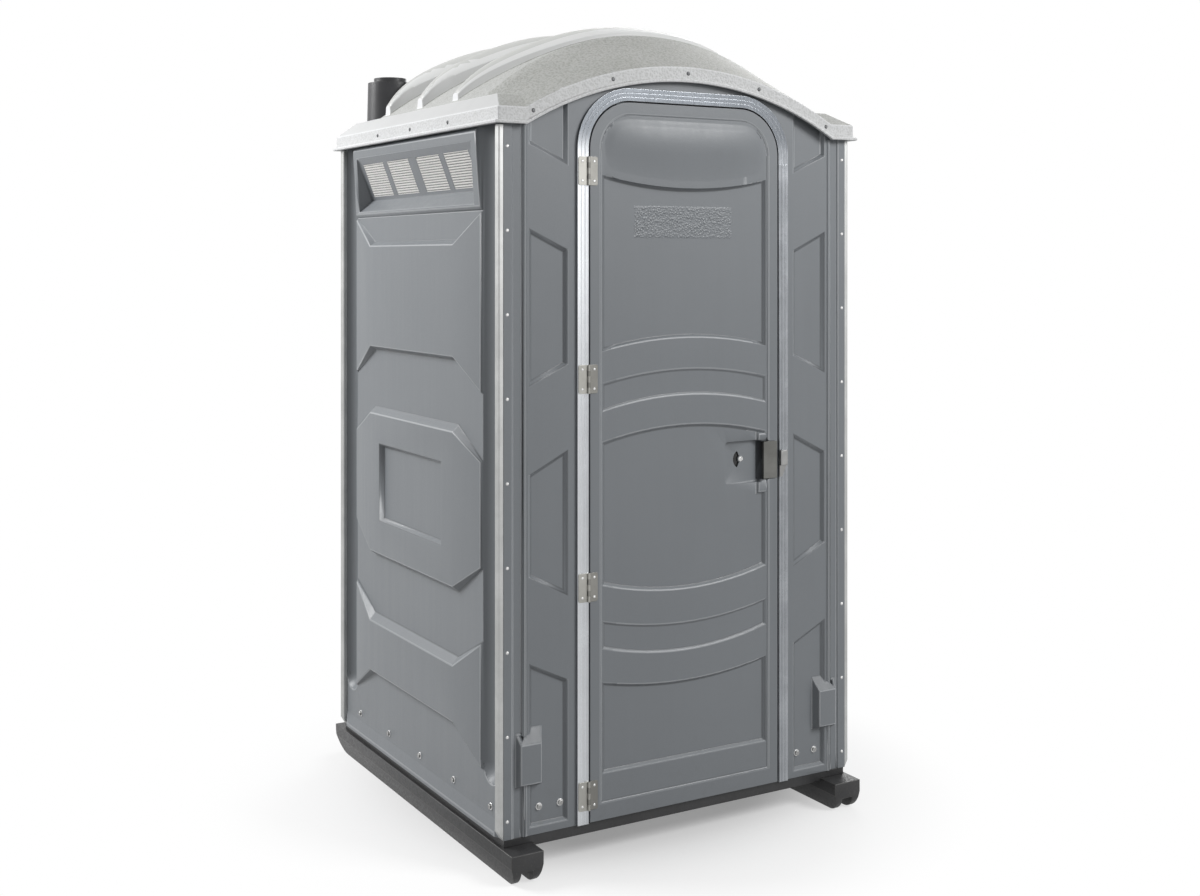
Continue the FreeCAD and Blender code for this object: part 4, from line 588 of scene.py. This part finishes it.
def makeSkid(node, side):
    p = skidShape
    middle = (p["inner"] + p["outer"]) / 2
    channel = p["channelHalf"] - p["channelDraft"]
    corners = [(p["inner"], p["top"]), (p["inner"], p["shoulder"]), (p["inner"] + p["tuck"], 0),
               (middle - p["channelHalf"], 0), (middle - channel, p["channelTop"]),
               (middle + channel, p["channelTop"]), (middle + p["channelHalf"], 0),
               (p["outer"] - p["tuck"], 0), (p["outer"], p["shoulder"]), (p["outer"], p["top"])]
    work = bmesh.new()
    work.faces.layers.float.new("fold")
    section = work.faces.new([work.verts.new((side * x, -p["half"], z)) for x, z in corners])
    grown = bmesh.ops.extrude_face_region(work, geom=[section], use_keep_orig=True)
    moved = [item for item in grown["geom"] if isinstance(item, bmesh.types.BMVert)]
    bmesh.ops.translate(work, vec=(0, 2 * p["half"], 0), verts=moved)
    cutRound(work, -1, p["nose"])
    cutRound(work, 1, p["tail"])
    bmesh.ops.remove_doubles(work, verts=work.verts, dist=edgeRules["mergeGap"])
    bmesh.ops.recalc_face_normals(work, faces=work.faces)
    roundEdges(work, *p["edge"])
    smoothUpTo(putFor(node, work))


makeSkid("skid_left", -1)
makeSkid("skid_right", 1)
print("skids made")


# Louvre screens: fine slotted mesh in four windows of each side wall

screenSheet = {"windows": ((-0.378, -0.2205), (-0.1865, -0.029), (0.029, 0.1865), (0.2205, 0.378)),
               "low": (0.5320, 1.787), "high": (0.5696, 1.885), "columns": 20, "rows": 14, "wire": 0.0007,
               "barShare": 3.2, "thickness": 0.0012}


def makeScreens(node, side):
    p = screenSheet
    work = bmesh.new()
    low = Vector((side * p["low"][0], 0, p["low"][1]))
    high = Vector((side * p["high"][0], 0, p["high"][1]))
    climb = high - low
    # The grid is inset while squeezed, so that the bars come out thicker than the wires between them
    squeezed = climb.length / p["barShare"]
    for left, right in p["windows"]:
        grid = bmesh.ops.create_grid(work, x_segments=p["columns"], y_segments=p["rows"], size=0.5)
        faces = list(dict.fromkeys(face for vert in grid["verts"] for face in vert.link_faces))
        bmesh.ops.translate(work, vec=(0.5, 0.5, 0), verts=grid["verts"])
        bmesh.ops.scale(work, vec=(right - left, squeezed, 1), verts=grid["verts"])
        cells = bmesh.ops.inset_individual(work, faces=faces, thickness=p["wire"], use_even_offset=True)
        window = dict.fromkeys(vert for face in faces + cells["faces"] for vert in face.verts)
        slope = Matrix(((0, climb.x / squeezed, 0, low.x), (1, 0, 0, left), (0, climb.z / squeezed, 0, low.z),
                        (0, 0, 0, 1)))
        bmesh.ops.transform(work, matrix=slope, verts=list(window))
        bmesh.ops.delete(work, geom=faces, context="FACES_ONLY")
    bmesh.ops.recalc_face_normals(work, faces=work.faces)
    solid = putFor(node, work).modifiers.new("thickness", "SOLIDIFY")
    solid.thickness = p["thickness"]
    solid.offset = 0.0


makeScreens("vent_screens_left", -1)
makeScreens("vent_screens_right", 1)
print("screens made")


# Pebbled patch in the door's upper panel

patchArea = {"x": (-0.170, 0.160), "z": (1.647, 1.741), "face": -0.5668, "step": 0.0014, "pebble": 0.0058,
             "height": 0.0026, "paintedLightGain": 800.0, "paintedLightStep": 0.0016, "fade": 0.008, "fray": 0.008,
             "frayScale": (40, 90), "wander": (0.7, 0.5), "seed": 5, "steep": 1.7, "grainShare": 0.9,
             "sunk": 0.0002, "smooth": 80.0}
noise.seed_set(patchArea["seed"])


def pebbleHeight(x, z):
    # Rounded grains with creases between them, fading out unevenly at the patch's border
    p = patchArea
    spot = Vector((x / p["pebble"], z / p["pebble"], 0.0))
    spot += noise.noise_vector(spot * p["wander"][0]) * p["wander"][1]
    first, second = noise.voronoi(spot)[0][:2]
    grain = min(1.0, (second - first) * p["steep"])
    fray = p["fray"] * abs(noise.noise(Vector((x * p["frayScale"][0], z * p["frayScale"][1], 3.0))))
    side = min(x - p["x"][0], p["x"][1] - x) - fray
    end = min(z - p["z"][0], p["z"][1] - z)
    fade = bounded(min(side, end) / p["fade"], 0.0, 1.0)
    body = grain * p["grainShare"] + (1 - p["grainShare"])
    return p["height"] * body * eased(fade) - p["sunk"] * (1 - fade)


def makePatch():
    p = patchArea
    wide, high = p["x"][1] - p["x"][0], p["z"][1] - p["z"][0]
    work = bmesh.new()
    fold = work.verts.layers.float.new("fold")
    grid = bmesh.ops.create_grid(work, x_segments=round(wide / p["step"]), y_segments=round(high / p["step"]),
                                 size=0.5)
    for vert in grid["verts"]:
        x = p["x"][0] + (vert.co.x + 0.5) * wide
        z = p["z"][0] + (vert.co.y + 0.5) * high
        height = pebbleHeight(x, z)
        # Pebble faces turned toward the upper left get a painted highlight, those turned away get painted shade,
        # through the fold mark
        climb = height - pebbleHeight(x - p["paintedLightStep"], z + p["paintedLightStep"])
        vert.co = (x, p["face"] - height, z)
        vert[fold] = bounded(climb * p["paintedLightGain"], -1.0, 1.0)
    smoothUpTo(putPiece("door_pebble_patch", work, "grey_polyethylene", "door"), p["smooth"])


makePatch()
print("door patch made")


# Cushioned field at the door's head: it swells out just under the top edge

headField = {"half": 0.2720, "radius": 0.0915, "top": 1.9775, "low": (1.817, 1.787), "peak": 1.901, "ball": 4.63,
             "face": -0.583, "rise": 0.012, "topRun": 0.10, "footRun": 0.16, "footGap": 0.004, "rimRun": 0.030,
             "sunk": 0.0004, "outsideSlope": 1.5, "fullness": 6, "steps": (70, 48), "smooth": 60.0}


def headSwell(x, z):
    p = headField
    across, up = abs(x) - (p["half"] - p["radius"]), z - (p["top"] - p["radius"])
    rim = p["radius"] - math.hypot(across, up) if min(across, up) > 0 else min(p["half"] - abs(x), p["top"] - z)
    foot = z - p["footGap"] - p["low"][1] - (p["low"][0] - p["low"][1]) * (x / p["half"]) ** 2
    if min(rim, foot) < 0:
        return p["outsideSlope"] * min(rim, foot) - p["sunk"]
    crown = 1 - (1 - min((p["top"] - z) / p["topRun"], 1.0)) ** 2
    wide = 1 - (x / p["half"]) ** p["fullness"]
    return p["rise"] * wide * crown * eased(foot / p["footRun"]) * eased(rim / p["rimRun"]) - p["sunk"]


def makeHeadField():
    p = headField
    work = bmesh.new()
    grid = bmesh.ops.create_grid(work, x_segments=p["steps"][0], y_segments=p["steps"][1], size=0.5)
    for vert in grid["verts"]:
        x = vert.co.x * 2 * p["half"]
        z = p["low"][1] + (vert.co.y + 0.5) * (p["top"] - p["low"][1])
        fall = (x * x + (z - p["peak"]) ** 2) / (2 * p["ball"])
        vert.co = (x, p["face"] + fall - headSwell(x, z), z)
    smoothUpTo(putPiece("door_head_field", work, "grey_polyethylene", "door"), p["smooth"])


makeHeadField()
print("door head field made")


# Studio: white floor and surround, soft lamps and the photograph's camera

cameraPlace = {"at": (-2.28028, -3.99131, 1.59309), "heading": 30.0994, "focalPixels": 1491.705,
               "centre": (592.30, 259.12), "image": (1200, 896), "sensor": 36.0, "clip": (0.05, 200.0)}
lamps = [
    {"name": "sideLamp", "at": (-4.3, 2.9, 4.3), "aim": (0.0, 0.0, 1.2), "size": 2.4, "power": 325.0},
    {"name": "frontLamp", "at": (3.0, -5.0, 4.5), "aim": (0.0, 0.0, 1.3), "size": 2.4, "power": 255.0},
    {"name": "frameLamp", "at": (1.9, -5.2, 1.9), "aim": (-0.35, -0.6, 1.6), "size": 1.2, "power": 8.5},
    {"name": "backLamp", "at": (4.0, 4.0, 3.6), "aim": (0.0, 0.0, 1.1), "size": 3.0, "power": 120.0},
]
# the glow over the matte floor grows from under the cabin outwards, then beyond its shadow
room = {"floorSize": 60.0, "floorPlain": (0.30, 0.30, 0.30), "floorShown": (0.95, 0.95, 0.95),
        "glowUnder": (0.50, 0.85, 0.28, 0.68), "glowBeyond": (0.78, 1.20, 0.0, 0.32),
        "skyTone": (1.0, 1.0, 1.0), "skyStrength": 0.28}


def placeCamera():
    p = cameraPlace
    data = bpy.data.cameras.new("photoCamera")
    camera = placeObject("photoCamera", data)
    wide, high = p["image"]
    data.sensor_width = p["sensor"]
    data.lens = p["focalPixels"] / wide * p["sensor"]
    data.shift_x = (wide / 2 - p["centre"][0]) / wide
    data.shift_y = (p["centre"][1] - high / 2) / wide
    data.clip_start, data.clip_end = p["clip"]
    camera.location = p["at"]
    camera.rotation_euler = (math.radians(90), 0, math.radians(-p["heading"]))
    bpy.context.scene.camera = camera


def placeLamp(p):
    data = bpy.data.lights.new(p["name"], "AREA")
    data.energy = p["power"]
    data.size = p["size"]
    lamp = placeObject(p["name"], data)
    lamp.location = p["at"]
    lamp.rotation_euler = (Vector(p["aim"]) - Vector(p["at"])).to_track_quat("-Z", "Y").to_euler()


def seenAs(look, plain, shown):
    # The shown shader where the camera, a reflection or clear material looks, the plain one for light
    rays = [look.node("ShaderNodeLightPath", {}, {}, name)
            for name in ("Is Camera Ray", "Is Glossy Ray", "Is Transmission Ray")]
    seen = rays[0].largest(rays[1]).largest(rays[2])
    return look.node("ShaderNodeMixShader", {}, {0: seen, 1: plain, 2: shown})


def buildFloor():
    p = room
    work = bmesh.new()
    bmesh.ops.create_grid(work, x_segments=1, y_segments=1, size=p["floorSize"] / 2)
    floor = placeMesh("studioFloor", work)
    look = newFinish("studio_floor")
    plain = look.node("ShaderNodeBsdfDiffuse", {}, {"Color": p["floorPlain"]})
    matte = look.node("ShaderNodeBsdfDiffuse", {}, {"Color": p["floorShown"]})
    glow = look.node("ShaderNodeEmission", {}, {"Color": p["skyTone"], "Strength": 1.0})
    away = look.node("ShaderNodeVectorMath", {"operation": "LENGTH"}, {0: look.place()}, "Value")
    share = away.ramp(*p["glowUnder"]) + away.ramp(*p["glowBeyond"])
    shown = look.node("ShaderNodeMixShader", {}, {0: share, 1: matte, 2: glow})
    look.feed(look.tree.nodes["Material Output"].inputs["Surface"], seenAs(look, plain, shown))
    floor.data.materials.append(look.material)


def buildSky():
    p = room
    world = bpy.data.worlds.new("studio")
    bpy.context.scene.world = world
    world.use_nodes = True
    sky = Finish(world.node_tree)
    plain = sky.node("ShaderNodeBackground", {}, {"Color": p["skyTone"], "Strength": p["skyStrength"]})
    shown = sky.node("ShaderNodeBackground", {}, {"Color": p["skyTone"], "Strength": 1.0})
    sky.feed(world.node_tree.nodes["World Output"].inputs["Surface"], seenAs(sky, plain, shown))


placeCamera()
for lamp in lamps:
    placeLamp(lamp)
buildFloor()
buildSky()
bpy.context.scene.view_settings.view_transform = "Standard"
print("studio ready")
